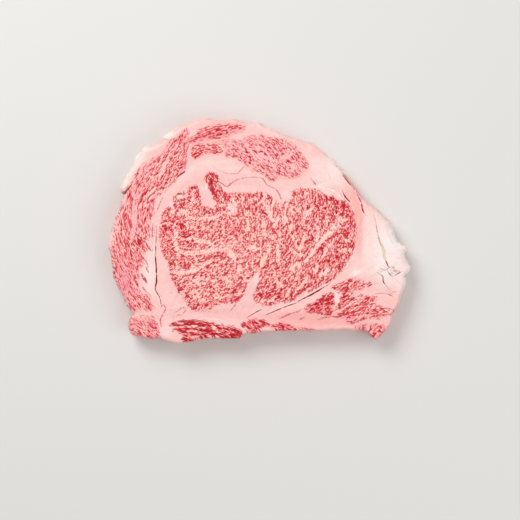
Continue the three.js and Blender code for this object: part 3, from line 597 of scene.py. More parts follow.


# Soft spots, each x, y, radius along X, radius along Y and amount. deep makes the lean redder or paler than
# its muscle, fat gives it more or less fat, the pale spots and blush take the fat from seam pink towards
# white or salmon, and crumb makes it crumbly. Most pale spots are paler fat, but those at (-19, 15.4) and
# (68, -29) are painted glints, and those at (-93, 42) and (-86, 53) paint the flap's white rim, partly paler
# fat and partly a painted highlight.
tones = {
    "deep": [
        (-33, 34, 5, 9, 0.66), (-60, 8, 10, 10, 0.3), (-52, -8, 8, 5, 0.25), (-54, -25, 9, 5, 0.3),
        (-56, -39, 6, 5, 0.2), (-14, 4, 20, 12, -0.3), (-10, -15, 18, 9, -0.2), (16, -2, 10, 16, -0.16),
        (54, 14, 13, 12, 0.35), (30, 20, 14, 9, 0.1), (56, -14, 10, 12, 0.25), (8, -42, 12, 6, 0.15),
        (30, -36, 16, 8, 0.05), (-20, -42, 12, 8, 0.15), (-30, -30, 14, 8, -0.15), (36, -22, 12, 8, -0.05),
        (-84, -7, 6, 6, 0.7), (-90, 20, 8, 6, 0.35), (-60, 52, 8, 9, 0.12), (-96, -20, 8, 14, -0.1),
        (-9, 49, 6, 5, 0.2), (12, 57, 14, 8, 0.1), (46, -48, 7, 6, 0.3), (60, -44, 7, 12, 0.15),
    ],
    "fat": [
        (-14, 2, 22, 12, 0.012), (16, 8, 10, 14, 0.02), (54, 16, 14, 10, -0.03), (60, -3, 7, 20, -0.03),
        (-60, 8, 10, 12, -0.02), (8, -42, 14, 8, -0.02), (-30, -32, 18, 10, 0.02), (32, 22, 12, 8, -0.01),
        (-24, 22, 8, 6, -0.01), (-33, 33, 4, 9, -0.05), (1.4, 51, 4, 3, 0.17), (10, 49, 4, 3, 0.17),
        (19, 53, 3, 2.4, 0.15), (23, 42.4, 4, 2.4, 0.14), (-6, 58, 5, 2, 0.07), (7, 58, 7, 3, -0.04),
        (16, 58, 3, 4, -0.06), (31, 45, 2, 3, -0.05), (21.5, 49.5, 2, 2, -0.1), (11, 41, 4, 2, -0.08),
        (-3, 44.4, 4, 2, -0.05), (-12, 54, 8, 5, -0.04), (-86, 30, 10, 8, 0.03), (-82, -24, 5, 10, 0.05),
        (-60, 46, 10, 12, 0.02), (-72, 42, 12, 9, 0.03), (86, -57, 9, 5, 0.05), (70, -37, 9, 5, 0.03),
        (-46, -42, 12, 9, 0.08), (-42, 14, 8, 6, 0.04), (20, 12, 8, 8, 0.02), (-34, 0, 14, 14, 0.035),
        (-52, 14, 10, 10, -0.01), (8, -36, 18, 9, 0.04), (-44, -34, 12, 12, 0.03), (38, 24.5, 9, 3.6, 0.07),
        (28.5, 21, 4, 4, 0.05), (56.5, -1.5, 6, 4, 0.07), (17, -46, 7, 3.6, 0.07),
        (29, -41.5, 6, 3.4, 0.03), (-15.6, -36.3, 3, 5.6, 0.08), (-22.6, -20, 3.4, 3.6, 0.07),
        (-8, -18, 7, 5, 0.035), (-30, -3, 5, 6, 0.035), (-14.4, 11.4, 3, 3, 0.05), (-3.5, 9.3, 3, 4, 0.05),
        (4.4, -7.4, 3.4, 3.4, 0.05), (-53, -19.6, 4, 5, 0.05), (-46, -9, 3.4, 3, 0.04),
        (-89, -29.4, 4, 7, 0.06), (-96, -38, 4, 6, 0.08), (-88, -46, 5, 6, 0.05), (-46, -52, 4, 3.6, 0.05),
        (-34.5, -50.3, 3, 4, 0.05), (-43, -73.5, 10, 2.6, 0.1), (-50, -75, 6, 2.6, 0.06),
        (-16, -72, 4, 3, 0.07), (69, -57.4, 5, 5, 0.07), (81, -54.6, 4, 3, 0.04), (70.5, -39, 6, 3, 0.04),
        (-55.5, 62, 4, 7, 0.05), (-72, 33.4, 7, 3.6, 0.05), (-79.5, 26, 3.6, 5, 0.04),
        (-54, 43.4, 3, 6, 0.04), (26, 51.3, 4, 4, 0.07), (16.8, 42.5, 3.6, 4, 0.06),
        (-15.3, 23.3, 3, 3, 0.04), (31, -25, 6, 4, 0.03), (60.5, -50.3, 7, 4, -0.07),
        (-47.6, -37.5, 4, 3.4, -0.1), (-30, 40, 4, 3, -0.1), (-46, 30, 4, 3, -0.08), (-52, 26, 4, 3, -0.06),
        (-62, 16, 3, 4, -0.07), (-47.6, 7.5, 4, 4, -0.05), (-73, 21, 3, 8, -0.07), (-85.4, 5, 3, 4, -0.05),
        (34, 12, 7, 3, -0.06), (15, 7.5, 5, 3, -0.04), (-24.5, -10.5, 4, 3, -0.05), (51, 3.7, 3, 3, -0.05),
        (-34.5, 13.6, 3, 5, -0.05), (2, 66, 7, 3, -0.06), (21, 61, 6, 3, -0.06), (1, 41, 5, 3.6, -0.07),
        (-94, 21, 4, 6, -0.05), (-84, -54, 4, 3, -0.06), (-81, 44, 5, 6, 0.07), (-66, 56, 4, 4, -0.05),
        (-76, 15, 2.4, 5, -0.07), (61, -20, 3, 6, -0.06), (44, -16, 5, 3, -0.04), (5.4, -40.6, 4, 3, -0.07),
        (10, -30, 3, 4, -0.04), (-23, -39.5, 3, 5, -0.04), (-63.4, -26, 4, 5, -0.05),
        (-36, -63.5, 7, 2.2, -0.08), (-20, -66.5, 6, 2.6, -0.07), (17, -66.5, 9, 2.4, -0.08),
        (46, -53, 3, 3, -0.05), (-8, -32, 24, 12, 0.013), (-68, 46, 14, 14, -0.016),
    ],
    "paleAndHighlight": [
        (92, -22, 16, 16, 0.68), (94, -6, 16, 10, 0.3), (80, -4, 10, 22, 0.32), (50, 44, 24, 14, 0.24),
        # (-93, 42) and (-86, 53) in the next row are partly paler fat and partly a painted highlight on the
        # flap's rim.
        (52, 42, 11, 10, 0.3), (-93, 42, 8, 18, 0.6), (-86, 53, 7, 7, 0.5), (-78, 58.6, 6, 3, 0.4),
        (-66.5, 67.5, 6, 3.4, 0.9), (-30, 46, 18, 7, 0.2), (-77, -30, 5, 17, 0.55), (54, -48, 2, 8, 0.36),
        (-66, -70, 5, 6, 0.3), (10, 72, 14, 5, 0.3), (-104, -4, 2.4, 16, 0.14), (90, 0, 8, 12, 0.2),
        # (-19, 15.4) in the next row and (68, -29) in the row after it are painted glints.
        (100, -36, 6, 12, 0.25), (-19, 15.4, 2.6, 3.4, 0.85), (46, 12, 60, 60, 0.06),
        (-66, -36, 5, 18, 0.1), (-3, -33, 3, 4, 0.4), (20, 30, 6, 10, 0.1), (68, -29, 4, 2, 0.5),
    ],
    "blush": [
        (69.4, 4, 3.4, 22, 1.0), (40, -62, 36, 6, 1.1), (-26, -57, 40, 3.4, 0.35), (-87.5, 12, 3, 26, 0.35),
        (-40, 63, 30, 2.4, 0.4), (64, 25, 6, 7, 0.6), (68.4, 17, 3.4, 10, 0.6), (-58, 20, 6, 8, 0.05),
        (66, -44, 14, 5, 0.2), (-8, 44, 10, 6, 0.15), (-95, -38, 8, 18, 0.7), (-80, 41, 7, 8, 0.3),
        (-14, 68, 9, 3, 0.35), (-68, 57, 6, 5, 0.3), (-90, 35, 5, 5, 0.25), (-24, 76, 24, 2.4, 0.5),
        (-61, 64, 6, 5, 0.3), (-74, 54, 6, 4, 0.25), (6, 70, 9, 3, 0.3), (24, -59, 14, 4, 0.15),
    ],
    "crumb": [(92, -27, 8, 4.5, 1.0), (84, -26, 4, 3, 0.5), (90, -34, 5, 5, 0.4), (68, -29, 4, 2.4, 0.55)],
}


def drawChart():
    inward, fat, deep, haze, along, across = drawMuscles()
    near, side, half, dark, shadeTint = drawLines()
    tone = {name: spots(rows, chartX, chartY) for name, rows in tones.items()}
    return {
        "inward": np.clip(inward, -chart["inwardMost"], chart["inwardMost"]),
        "vein": drawStrokes(fatVeins), "strand": drawStrokes(leanStrands),
        "fatness": fat + tone["fat"],
        "deep": np.clip(deep + tone["deep"], 0, chart["deepMost"]),
        "paleAndHighlight": np.clip(tone["paleAndHighlight"], 0, 1),
        "blush": np.clip(tone["blush"] + haze, 0, 1),
        "along": along, "across": across,
        "lineNear": near, "lineSide": side, "lineHalf": half, "lineDark": dark, "lineShadeTint": shadeTint,
        "crumb": np.clip(tone["crumb"], 0, 1),
    }


def readChart(name, x, y):
    # Values of the chart between its grid points, for places in millimetres. Nothing is read past the last
    # row and column.
    values = chartValues[name]
    lastRow, lastColumn = np.array(values.shape) - 1.001
    column = np.clip((x + chart["halfLength"]) / chart["step"], 0, lastColumn)
    row = np.clip((y + chart["halfWidth"]) / chart["step"], 0, lastRow)
    i, j = row.astype(int), column.astype(int)
    a, b = row - i, column - j
    upper = values[i, j] * (1 - b) + values[i, j + 1] * b
    lower = values[i + 1, j] * (1 - b) + values[i + 1, j + 1] * b
    return upper * (1 - a) + lower * a


# The body of the slice: a finer copy of the CAD solid. softness is how far one round of smoothing goes.
body = {
    "thickness": 20, "welded": 0.002, "voxel": 0.75, "smoothing": 4, "softness": 0.5,
    "flatBelow": 0.4, "bottomSteps": 3,
}


def makeActive(made):
    made.select_set(True)
    bpy.context.view_layer.objects.active = made


def change(made, kind, **settings):
    # Adds a modifier with these settings and applies it.
    modifier = made.modifiers.new(kind.lower(), kind)
    for name, value in settings.items():
        setattr(modifier, name, value)
    bpy.ops.object.modifier_apply(modifier=modifier.name)


def selectFaces(made, chosen):
    # Selects the faces whose corners are all among the chosen vertices.
    made.data.polygons.foreach_set("select", [all(chosen[v] for v in face.vertices)
                                              for face in made.data.polygons])
    made.data.update()


def addCopy(name, mesh):
    made = bpy.data.objects.new(name, mesh.copy())
    bpy.context.scene.collection.objects.link(made)
    return made


def makeBody():
    made = addCopy("beefSteak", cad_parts["steak"].data)
    made.data.materials.clear()
    makeActive(made)
    bpy.ops.object.mode_set(mode="EDIT")
    bpy.ops.mesh.select_all(action="SELECT")
    bpy.ops.mesh.remove_doubles(threshold=body["welded"] * mm)
    bpy.ops.object.mode_set(mode="OBJECT")
    solid = addCopy("solid", made.data)
    change(made, "REMESH", mode="VOXEL", voxel_size=body["voxel"] * mm)
    bpy.ops.object.mode_set(mode="EDIT")
    bpy.ops.mesh.select_all(action="SELECT")
    bpy.ops.mesh.vertices_smooth(factor=body["softness"], repeat=body["smoothing"])
    bpy.ops.mesh.select_all(action="DESELECT")
    bpy.ops.object.mode_set(mode="OBJECT")
    change(made, "SHRINKWRAP", target=solid)
    bpy.data.objects.remove(solid)
    return made


# Knife slits that open the outer fat from the side: mouth, inner end, width at the mouth, lowest height.
knifeSlits = [
    {"mouth": (-71.6, 66), "end": (-63.8, 63.6), "width": 2.7, "floor": 2},
    {"mouth": (-99.4, 23.8), "end": (-91.2, 30.4), "width": 2.2, "floor": 6},
]
bladeTop = 24


def cutSlits(made):
    # Cuts each slit with a three-sided wedge.
    for slit in knifeSlits:
        mouth, end = np.array(slit["mouth"]), np.array(slit["end"])
        inward = (end - mouth) / np.linalg.norm(end - mouth)
        aside = np.array([-inward[1], inward[0]]) * slit["width"] / 2
        bpy.ops.object.select_all(action="DESELECT")
        bpy.ops.mesh.primitive_cylinder_add(vertices=3, radius=mm, depth=mm)
        wedge = bpy.context.object
        corners = [end, mouth + aside, mouth - aside]
        angles = [round(v.co.to_2d().angle_signed((0, 1)), 3) for v in wedge.data.vertices]
        order = sorted(set(angles))
        for vertex, angle in zip(wedge.data.vertices, angles):
            x, y = corners[order.index(angle)] * mm
            vertex.co = (x, y, (slit["floor"] if vertex.co.z < 0 else bladeTop) * mm)
        bpy.ops.object.mode_set(mode="EDIT")
        bpy.ops.mesh.select_all(action="SELECT")
        bpy.ops.mesh.normals_make_consistent(inside=False)
        bpy.ops.object.mode_set(mode="OBJECT")
        makeActive(made)
        change(made, "BOOLEAN", object=wedge, operation="DIFFERENCE", solver="MANIFOLD")
        bpy.data.objects.remove(wedge)
    made.data.materials.clear()


def vectors(made, name):
    # The place ("co") or normal of every vertex, as rows of three.
    flat = np.empty(len(made.data.vertices) * 3)
    made.data.vertices.foreach_get(name, flat)
    return flat.reshape(-1, 3)


def setPlaces(made, at):
    made.data.vertices.foreach_set("co", (at * mm).ravel())
    made.data.update()


def straight(values, slope, start=0):
    # A straight line from start, held between 0 and 1.
    return np.clip(slope * values + start, 0, 1)


# How far the rim stands out past the solid, and its small corners and notches as spots. Corners grow with
# the height from their least share, and notches are as deep at the foot. upright says how soon the push
# sets in where the surface turns down.
rimPush = {
    "all": 0.4, "upright": 1.6, "growth": 1.3, "least": 0.25,
    "spots": [
        (-67.2, 66.6, 3.2, 2.4, 1.2), (-60, 71, 10, 6, 0.5), (-28, 78, 26, 4, 0.3), (16, 69, 16, 5, 0.3),
        (-81.4, 58, 1.8, 1.8, 0.9), (-86, 54.6, 2.4, 2, 0.6), (-76.6, 59.8, 2.4, 2, -0.8),
        (-93.4, 39, 4, 9, 0.9), (-97, 31, 3, 3, 0.4), (-97.4, 18, 3, 3, 0.5), (-101, 9, 2, 2.2, 0.9),
        (-103.4, 1, 3, 6, 0.7), (-105.4, -10, 2.4, 6, 0.5), (-103.6, -24, 3, 4, 0.5),
        (-102, -30.5, 2, 3, 0.8), (-93.8, -50, 3, 4, 0.4), (-90.2, -55.4, 2.4, 3, 0.8),
        (-90, -72, 3, 3, 0.5), (-75.6, -76, 2.4, 2, 0.6), (-66, -76.6, 2, 2, 0.4), (-18.6, 78, 2, 2, 0.4),
        (-1, 75, 2.4, 2.4, 0.6), (7.6, 72, 3, 2.4, 0.7), (19, 66.8, 2.6, 2.4, 0.5),
        (51.2, 50.6, 2.2, 2.4, 0.9), (103, -11.4, 1.6, 1.6, 0.6), (106, -26.6, 2.2, 2, 0.6),
        (102, -30.8, 2, 1.6, -0.9), (102.4, -15.4, 1.6, 1.8, -0.8), (103.4, -21, 2, 2.4, 0.3),
        (4, -71, 60, 5, -0.4), (66, -69.6, 8, 2.4, 0.4), (78, -73, 5, 5, -0.6),
    ],
}


def pushRim(made):
    at, normals = vectors(made, "co") / mm, vectors(made, "normal")
    corners = spots(rimPush["spots"], at[:, 0], at[:, 1])
    grown = np.clip(rimPush["growth"] * at[:, 2] / body["thickness"], rimPush["least"], 1)
    corners *= np.where(corners > 0, grown, 1)
    push = (rimPush["all"] + corners) * straight(1 - np.abs(normals[:, 2]), rimPush["upright"])
    at[:, :2] += normals[:, :2] * push[:, None]
    setPlaces(made, at)


def thinBottom(made):
    # The lower face is flat, so it needs fewer faces than the rest.
    at = vectors(made, "co") / mm
    at[:, 2] = np.where(at[:, 2] < body["flatBelow"], 0, at[:, 2])
    setPlaces(made, at)
    bpy.ops.object.mode_set(mode="EDIT")
    bpy.ops.mesh.select_mode(type="FACE")
    bpy.ops.object.mode_set(mode="OBJECT")
    selectFaces(made, at[:, 2] == 0)
    bpy.ops.object.mode_set(mode="EDIT")
    bpy.ops.mesh.unsubdivide(iterations=body["bottomSteps"])
    bpy.ops.mesh.select_all(action="DESELECT")
    bpy.ops.object.mode_set(mode="OBJECT")


# Open splits, carved along the lines that are at least openFrom dark. First the solid's own grooves are
# filled and levelled, then faces are added, and then the walls and a slight lip beside them are made.
# Splits with the cream-brown painted shade are shallower.
splits = {
    "openFrom": 0.5, "slack": 0.1, "filled": 2.0, "fills": 5, "levels": 30, "reach": 1.3, "cuts": 2,
    "margin": 3, "half": 0.52, "depth": 1.5, "widthMost": 1.4, "shallower": 0.6,
    "lip": 0.12, "lipAt": 0.95, "lipWidth": 0.5,
}


def refineSplits(made):
    # Smooths over the solid's grooves and adds rows of faces there, for splits with thin, sharp walls.
    for reach in (splits["filled"], splits["reach"]):
        at = vectors(made, "co") / mm
        near, dark = (readChart(name, at[:, 0], at[:, 1]) for name in ("lineNear", "lineDark"))
        close = (near < reach) & (dark > splits["openFrom"] - splits["slack"])
        selectFaces(made, close & (at[:, 2] > body["thickness"] / 2))
        bpy.ops.object.mode_set(mode="EDIT")
        if reach == splits["filled"]:
            soft = body["softness"]
            bpy.ops.mesh.vertices_smooth(factor=soft, repeat=splits["fills"])
            bpy.ops.mesh.vertices_smooth(factor=soft, repeat=splits["levels"], xaxis=False, yaxis=False)
        else:
            bpy.ops.mesh.subdivide(number_cuts=splits["cuts"])
        bpy.ops.mesh.select_all(action="DESELECT")
        bpy.ops.object.mode_set(mode="OBJECT")


def carveSplits(made):
    at = vectors(made, "co") / mm
    upper = at[:, 2] > body["thickness"] / 2
    drop = np.zeros(len(at))
    for line in lines:
        if line["dark"] < splits["openFrom"]:
            continue
        path = curveThrough(line["path"], chart["lineSteps"])
        low = path[:, :2].min(axis=0) - splits["margin"]
        high = path[:, :2].max(axis=0) + splits["margin"]
        part = np.flatnonzero(upper & (at[:, :2] > low).all(axis=1) & (at[:, :2] < high).all(axis=1))
        near, _, width = measure(path, at[part, 0], at[part, 1])
        half = splits["half"] * (1 + width) / 2
        deepest = splits["depth"] * line["dark"] * (1 - splits["shallower"] * line.get("shadeTint", 0))
        wall = deepest * np.clip(1 - near / half, 0, 1) * np.clip(width, 0, splits["widthMost"])
        lip = np.exp(-((near - splits["lipAt"]) / splits["lipWidth"]) ** 2)
        drop[part] = np.maximum(drop[part], wall) - splits["lip"] * line["dark"] * lip
    at[:, 2] -= drop
    setPlaces(made, at)


# Where the chart is read lower down in the slice: shifted in waves along X and Y, and on the sides drawn in
# from the rim and wavering with the place.
depthShift = {
    "most": (7, 5), "turn": 31, "phase": (0.7, 2.1), "pull": 1.9, "waver": 0.9, "waves": (7, 5, 2.4),
}

# How things change down the sides, each the slope and start of a straight line over the depth, which is 0
# at the top and 1 at the foot. upright does the same over how upright the surface is. The painted highlight
# along the top of the rim fades down the side by its own line, the number after it is how much paleness that
# painted highlight can add, and lineAway is how far the reading of a line is moved off it.
downSide = {
    "upright": (1.4, -0.2), "side": (6, -0.4), "waver": (5, 0), "rimHighlight": (-1.6, 1.3), "rimHighlightMost": 1.2,
    "lineEnd": (5, -1.2), "lineAway": 4, "crumb": (-3, 1),
}


def paintBody(made):
    # Stores what the chart says at each vertex. The sides and the lower face read it a little shifted, for
    # the muscles wander through the thickness, and the sides read it just inside the rim. The thin lines
    # aren't shifted, and show on the upper face and its rim alone. The upper part of the sides is painted
    # paler, a painted highlight along the rim.
    at, normals = vectors(made, "co") / mm, vectors(made, "normal")
    sunk = 1 - np.clip(at[:, 2] / body["thickness"], 0, 1)
    upright = 1 - np.abs(normals[:, 2])
    outward = normals[:, :2] / np.maximum(np.linalg.norm(normals[:, :2], axis=1), 0.01)[:, None]
    turned = at[:, 1::-1] / depthShift["turn"] + depthShift["phase"]
    shift = depthShift["most"] * np.sin(turned) * sunk[:, None]
    shift -= outward * ((shift * outward).sum(axis=1) * upright)[:, None]
    alongX, alongY, alongZ = depthShift["waves"]
    wave = np.sin(at[:, 2] / alongZ + at[:, 0] / alongX - at[:, 1] / alongY)
    waver = depthShift["waver"] * upright * wave * straight(sunk, *downSide["waver"])
    shift += outward[:, ::-1] * (-1, 1) * waver[:, None] - outward * (depthShift["pull"] * upright)[:, None]
    read = {}
    for name in chartValues:
        x, y = (at[:, :2] if name.startswith("line") else at[:, :2] + shift).T
        read[name] = readChart(name, x, y)
    onSide = straight(upright, *downSide["upright"]) * straight(sunk, *downSide["side"])
    # The upper part of the sides gets its paleness raised: a painted highlight along the rim.
    paler = 1 + downSide["rimHighlightMost"] * upright * straight(sunk, *downSide["rimHighlight"])
    lineNear = read["lineNear"] + downSide["lineAway"] * straight(sunk, *downSide["lineEnd"])
    crumb = read["crumb"] * straight(sunk, *downSide["crumb"])
    stored = {
        "share": (read["fatness"], onSide, crumb),
        "reach": (read["inward"], read["vein"], read["strand"]),
        "grain": (read["along"], read["across"], at[:, 2]),
        "tone": (read["deep"], read["paleAndHighlight"] * paler, read["blush"]),
        "line": (lineNear, read["lineSide"], read["lineHalf"]),
        "ink": (read["lineDark"], read["lineShadeTint"], np.zeros(len(at))),
    }
    for name, columns in stored.items():
        layer = made.data.attributes.new(name, "FLOAT_VECTOR", "POINT")
        layer.data.foreach_set("vector", np.stack(columns, axis=1).ravel())


class Wire:
    # One output of a node tree. Arithmetic on it adds Math nodes, and node() adds any other node. There
    # stops are the places and colours of a colour ramp.
    def __init__(self, tree, socket=None):
        self.tree, self.socket = tree, socket

    def node(self, kind, settings=None, sockets=None, out=0):
        made = self.tree.nodes.new(kind)
        for name, value in (settings or {}).items():
            if name == "stops":
                for number, (place, colour) in enumerate(value):
                    ends = made.color_ramp.elements
                    stop = ends[number] if number < 2 else ends.new(place)
                    stop.position, stop.color = place, colour
            else:
                setattr(made, name, value)
        for name, value in (sockets or {}).items():
            if isinstance(value, Wire):
                self.tree.links.new(value.socket, made.inputs[name])
            else:
                made.inputs[name].default_value = value
        return Wire(self.tree, made.outputs[out] if len(made.outputs) else None)

    def maths(self, operation, *values):
        return self.node("ShaderNodeMath", {"operation": operation}, dict(enumerate(values)))

    def __add__(self, other):
        return self.maths("ADD", self, other)

    def __radd__(self, other):
        return self.maths("ADD", other, self)

    def __sub__(self, other):
        return self.maths("SUBTRACT", self, other)

    def __rsub__(self, other):
        return self.maths("SUBTRACT", other, self)

    def __mul__(self, other):
        return self.maths("MULTIPLY", self, other)

    def __rmul__(self, other):
        return self.maths("MULTIPLY", other, self)

    def __abs__(self):
        return self.maths("ABSOLUTE", self)

    def ramp(self, low, high):
        # 0 at low and 1 at high, with soft ends. low may be the greater one.
        return self.node("ShaderNodeMapRange", {"interpolation_type": "SMOOTHSTEP"},
                         {"Value": self, 1: low, 2: high})

    def between(self, a, b):
        # The colour a where this wire is 0 and b where it is 1.
        return self.node("ShaderNodeMix", {"data_type": "RGBA"}, {0: self, 6: a, 7: b}, out=2)

    def attribute(self, name):
        if self.tree.type == "SHADER":
            return self.node("ShaderNodeAttribute", {"attribute_name": name}, out=1)
        return self.node("GeometryNodeInputNamedAttribute", {"data_type": "FLOAT_VECTOR"}, {"Name": name})

    def parts(self):
        split = self.node("ShaderNodeSeparateXYZ", {}, {0: self})
        return [Wire(self.tree, socket) for socket in split.socket.node.outputs]

    def sized(self, x, y, z):
        # A place in millimetres, divided along each axis by the size of a pattern.
        return self.node("ShaderNodeVectorMath", {"operation": "MULTIPLY"},
                         {0: self, 1: (1 / x, 1 / y, 1 / z)})

    def shaken(self, size, amount):
        # The same place, pushed about by cloudy noise.
        sockets = {"Vector": self.sized(size, size, size), "Scale": 1.0, "Detail": 1.0}
        push = self.node("ShaderNodeTexNoise", {}, sockets, out=1)
        return self.node("ShaderNodeVectorMath", {"operation": "MULTIPLY_ADD"},
                         {0: push, 1: (amount, amount, amount), 2: self})

    def cells(self):
        # The distance to the nearest wall between cells one unit wide, and a number of each cell's own.
        sockets = {"Vector": self, "Scale": 1.0}
        wall = self.node("ShaderNodeTexVoronoi", {"feature": "DISTANCE_TO_EDGE"}, sockets)
        own = self.node("ShaderNodeTexVoronoi", {"feature": "F1"}, sockets, out=1)
        return wall, own.parts()[0] - 0.5

    def noise(self, detail, distortion=0.0):
        # Cloudy noise about zero, one unit to a cloud.
        sockets = {"Vector": self, "Scale": 1.0, "Detail": detail, "Distortion": distortion}
        return self.node("ShaderNodeTexNoise", {}, sockets) - 0.5


# The marbling. size is in millimetres along the grain, across it and up through the slice, noise is detail
# and distortion, and share is how much a pattern adds to the leanness. Clouds are plain noise. Ribbons are
# wavy strands of lean along a noise's middle value. Islands are lean between walls of fat, each with a
# redness of its own, and loops are rings of lean round fat. ragged roughens the outlines, border is where a
# muscle sets in, and fatEdge is where lean gives way to fat in the relief and the sheen.
marbling = {
    "level": -0.075, "fatness": 1.8, "shake": (2.6, 1.2), "ragged": 5.0, "border": (-0.4, 0.4),
    "fatEdge": (0.7, 0.3),
    "clouds": [
        {"size": (9, 5, 18), "noise": (1.0, 0.3), "share": 0.3},
        {"size": (2.5, 1.1, 8), "noise": (1.0, 0.3), "share": 0.72},
        {"size": (1.9, 0.62, 5), "noise": (1.0, 0.3), "share": 1.0},
    ],
    "ribbons": [
        {"size": (4.8, 1.6, 13), "noise": (0.6, 0.4), "share": 0.5, "edge": (0.11, 0.01)},
        {"size": (2.2, 1.2, 9), "noise": (0.6, 0.4), "share": 0.44, "edge": (0.1, 0.01)},
    ],
    "island": {"size": (3.3, 1.3, 8), "share": 0.3, "own": 0.3, "wall": (0.02, 0.2)},
    "loop": {"size": (4.6, 2.9, 11), "share": 0.34, "inner": (0.02, 0.12), "outer": (0.34, 0.16)},
    "vein": {"ragged": 0.6, "edge": (-0.45, 0.45), "share": -0.55},
    "strand": {"ragged": 0.5, "edge": (-0.5, 0.6), "share": 0.3},
}


def leanHere(start):
    # From 0 in pure fat to 1 in the reddest lean, with the muscles' ragged edges as a mask beside it.
    grain = start.attribute("grain")
    inward, vein, strand = start.attribute("reach").parts()
    total = marbling["level"] - marbling["fatness"] * start.attribute("share").parts()[0]
    for part in marbling["clouds"]:
        cloud = grain.sized(*part["size"]).noise(*part["noise"])
        total = total + cloud * part["share"]
    ragged = cloud * marbling["ragged"]
    for part in marbling["ribbons"]:
        ribbon = abs(grain.sized(*part["size"]).noise(*part["noise"])).ramp(*part["edge"])
        total = total + ribbon * part["share"]
    shaken = grain.shaken(*marbling["shake"])
    part = marbling["island"]
    wall, own = shaken.sized(*part["size"]).cells()
    total = total + wall.ramp(*part["wall"]) * part["share"] + own * part["own"]
    part = marbling["loop"]
    wall = shaken.sized(*part["size"]).cells()[0]
    total = total + wall.ramp(*part["inner"]) * wall.ramp(*part["outer"]) * part["share"]
    for depth, name in ((vein, "vein"), (strand, "strand")):
        part = marbling[name]
        total = total + (depth + ragged * part["ragged"]).ramp(*part["edge"]) * part["share"]
    return total, (inward + ragged).ramp(*marbling["border"])


# Thin level folds in the membrane over the outer fat.
folds = {"shake": (9, 2.5), "size": (15, 15, 3.4), "detail": 1.0, "edge": (0.05, 0.0)}


def creases(place):
    # 1 in a fold and 0 elsewhere.
    cloud = place.shaken(*folds["shake"]).sized(*folds["size"]).noise(folds["detail"])
    return abs(cloud).ramp(*folds["edge"])


# The size of a crumb of fat, in its relief and in its colour.
crumbSize = (3.2, 2.6, 5)

# The relief, with heights in millimetres. It turns from the side's to the upper face's where the normal's
# height passes through top, and it sets in over the heights of foot.
relief = {
    "leanSink": 0.17, "leanOnSide": 1.5, "crease": 0.45,
    "crumb": 1.1, "crumbWall": 0.5, "crumbEdge": (0.0, 0.5),
    "fibre": {"size": (3, 0.9, 9), "detail": 2.0, "height": 0.16},
    "cover": {"size": (9, 4, 9), "detail": 2.0, "height": 0.16},
    "side": {"size": (4.6, 4.6, 9), "detail": 3.0, "height": 2.0},
    "sideFine": {"size": (1.8, 1.8, 3), "detail": 2.0, "height": 1.6},
    "top": (0.35, 0.8), "foot": (0.2, 1.6),
}


def swell(place, name):
    # The bumps of one kind, about their middle height.
    part = relief[name]
    return place.sized(*part["size"]).noise(part["detail"]) * part["height"]


def roughenBody(made):
    # Real relief for the marbling, the fibres and the cut sides.
    tree = bpy.data.node_groups.new("relief", "GeometryNodeTree")
    for way in ("INPUT", "OUTPUT"):
        tree.interface.new_socket("Geometry", in_out=way, socket_type="NodeSocketGeometry")
    start = Wire(tree)
    given = start.node("NodeGroupInput")
    normal = start.node("GeometryNodeInputNormal")
    place = start.node("GeometryNodeInputPosition").sized(mm, mm, mm)
    lean, inMuscle = leanHere(start)
    raised = (lean * inMuscle).ramp(*marbling["fatEdge"]) * relief["leanSink"]
    wall, own = place.sized(*crumbSize).cells()
    crumbs = wall.ramp(*relief["crumbEdge"]) * relief["crumbWall"] + own
    crumbs = start.attribute("share").parts()[2] * crumbs * relief["crumb"]
    upper = raised + swell(start.attribute("grain"), "fibre") + swell(place, "cover") + crumbs
    sides = swell(place, "side") + swell(place, "sideFine") - creases(place) * relief["crease"]
    sides = sides + raised * relief["leanOnSide"]
    onTop = normal.parts()[2].ramp(*relief["top"])
    offset = onTop * upper + (1 - onTop) * sides
    offset = offset * place.parts()[2].ramp(*relief["foot"]) * mm
    move = start.node("ShaderNodeVectorMath", {"operation": "SCALE"}, {0: normal, 3: offset})
    moved = start.node("GeometryNodeSetPosition", {}, {"Geometry": given, "Offset": move})
    start.node("NodeGroupOutput", {}, {"Geometry": moved})
    change(made, "NODES", node_group=tree)


# Where the surface lies in the baked picture, in millimetres of a square: the upper face at full size, the
# lower face smaller and the side in rows. side and bottom are the greatest heights of their normals.
sheet = {
    "size": 240, "topAt": (110, 82), "bottomAt": (51, 201), "bottomScale": 0.43,
    "rows": 4, "rowAt": (104, 166), "rowStep": 18.4, "sideScale": 0.8, "rim": 2.5,
    "side": 0.35, "bottom": -0.7, "steps": 360,
}


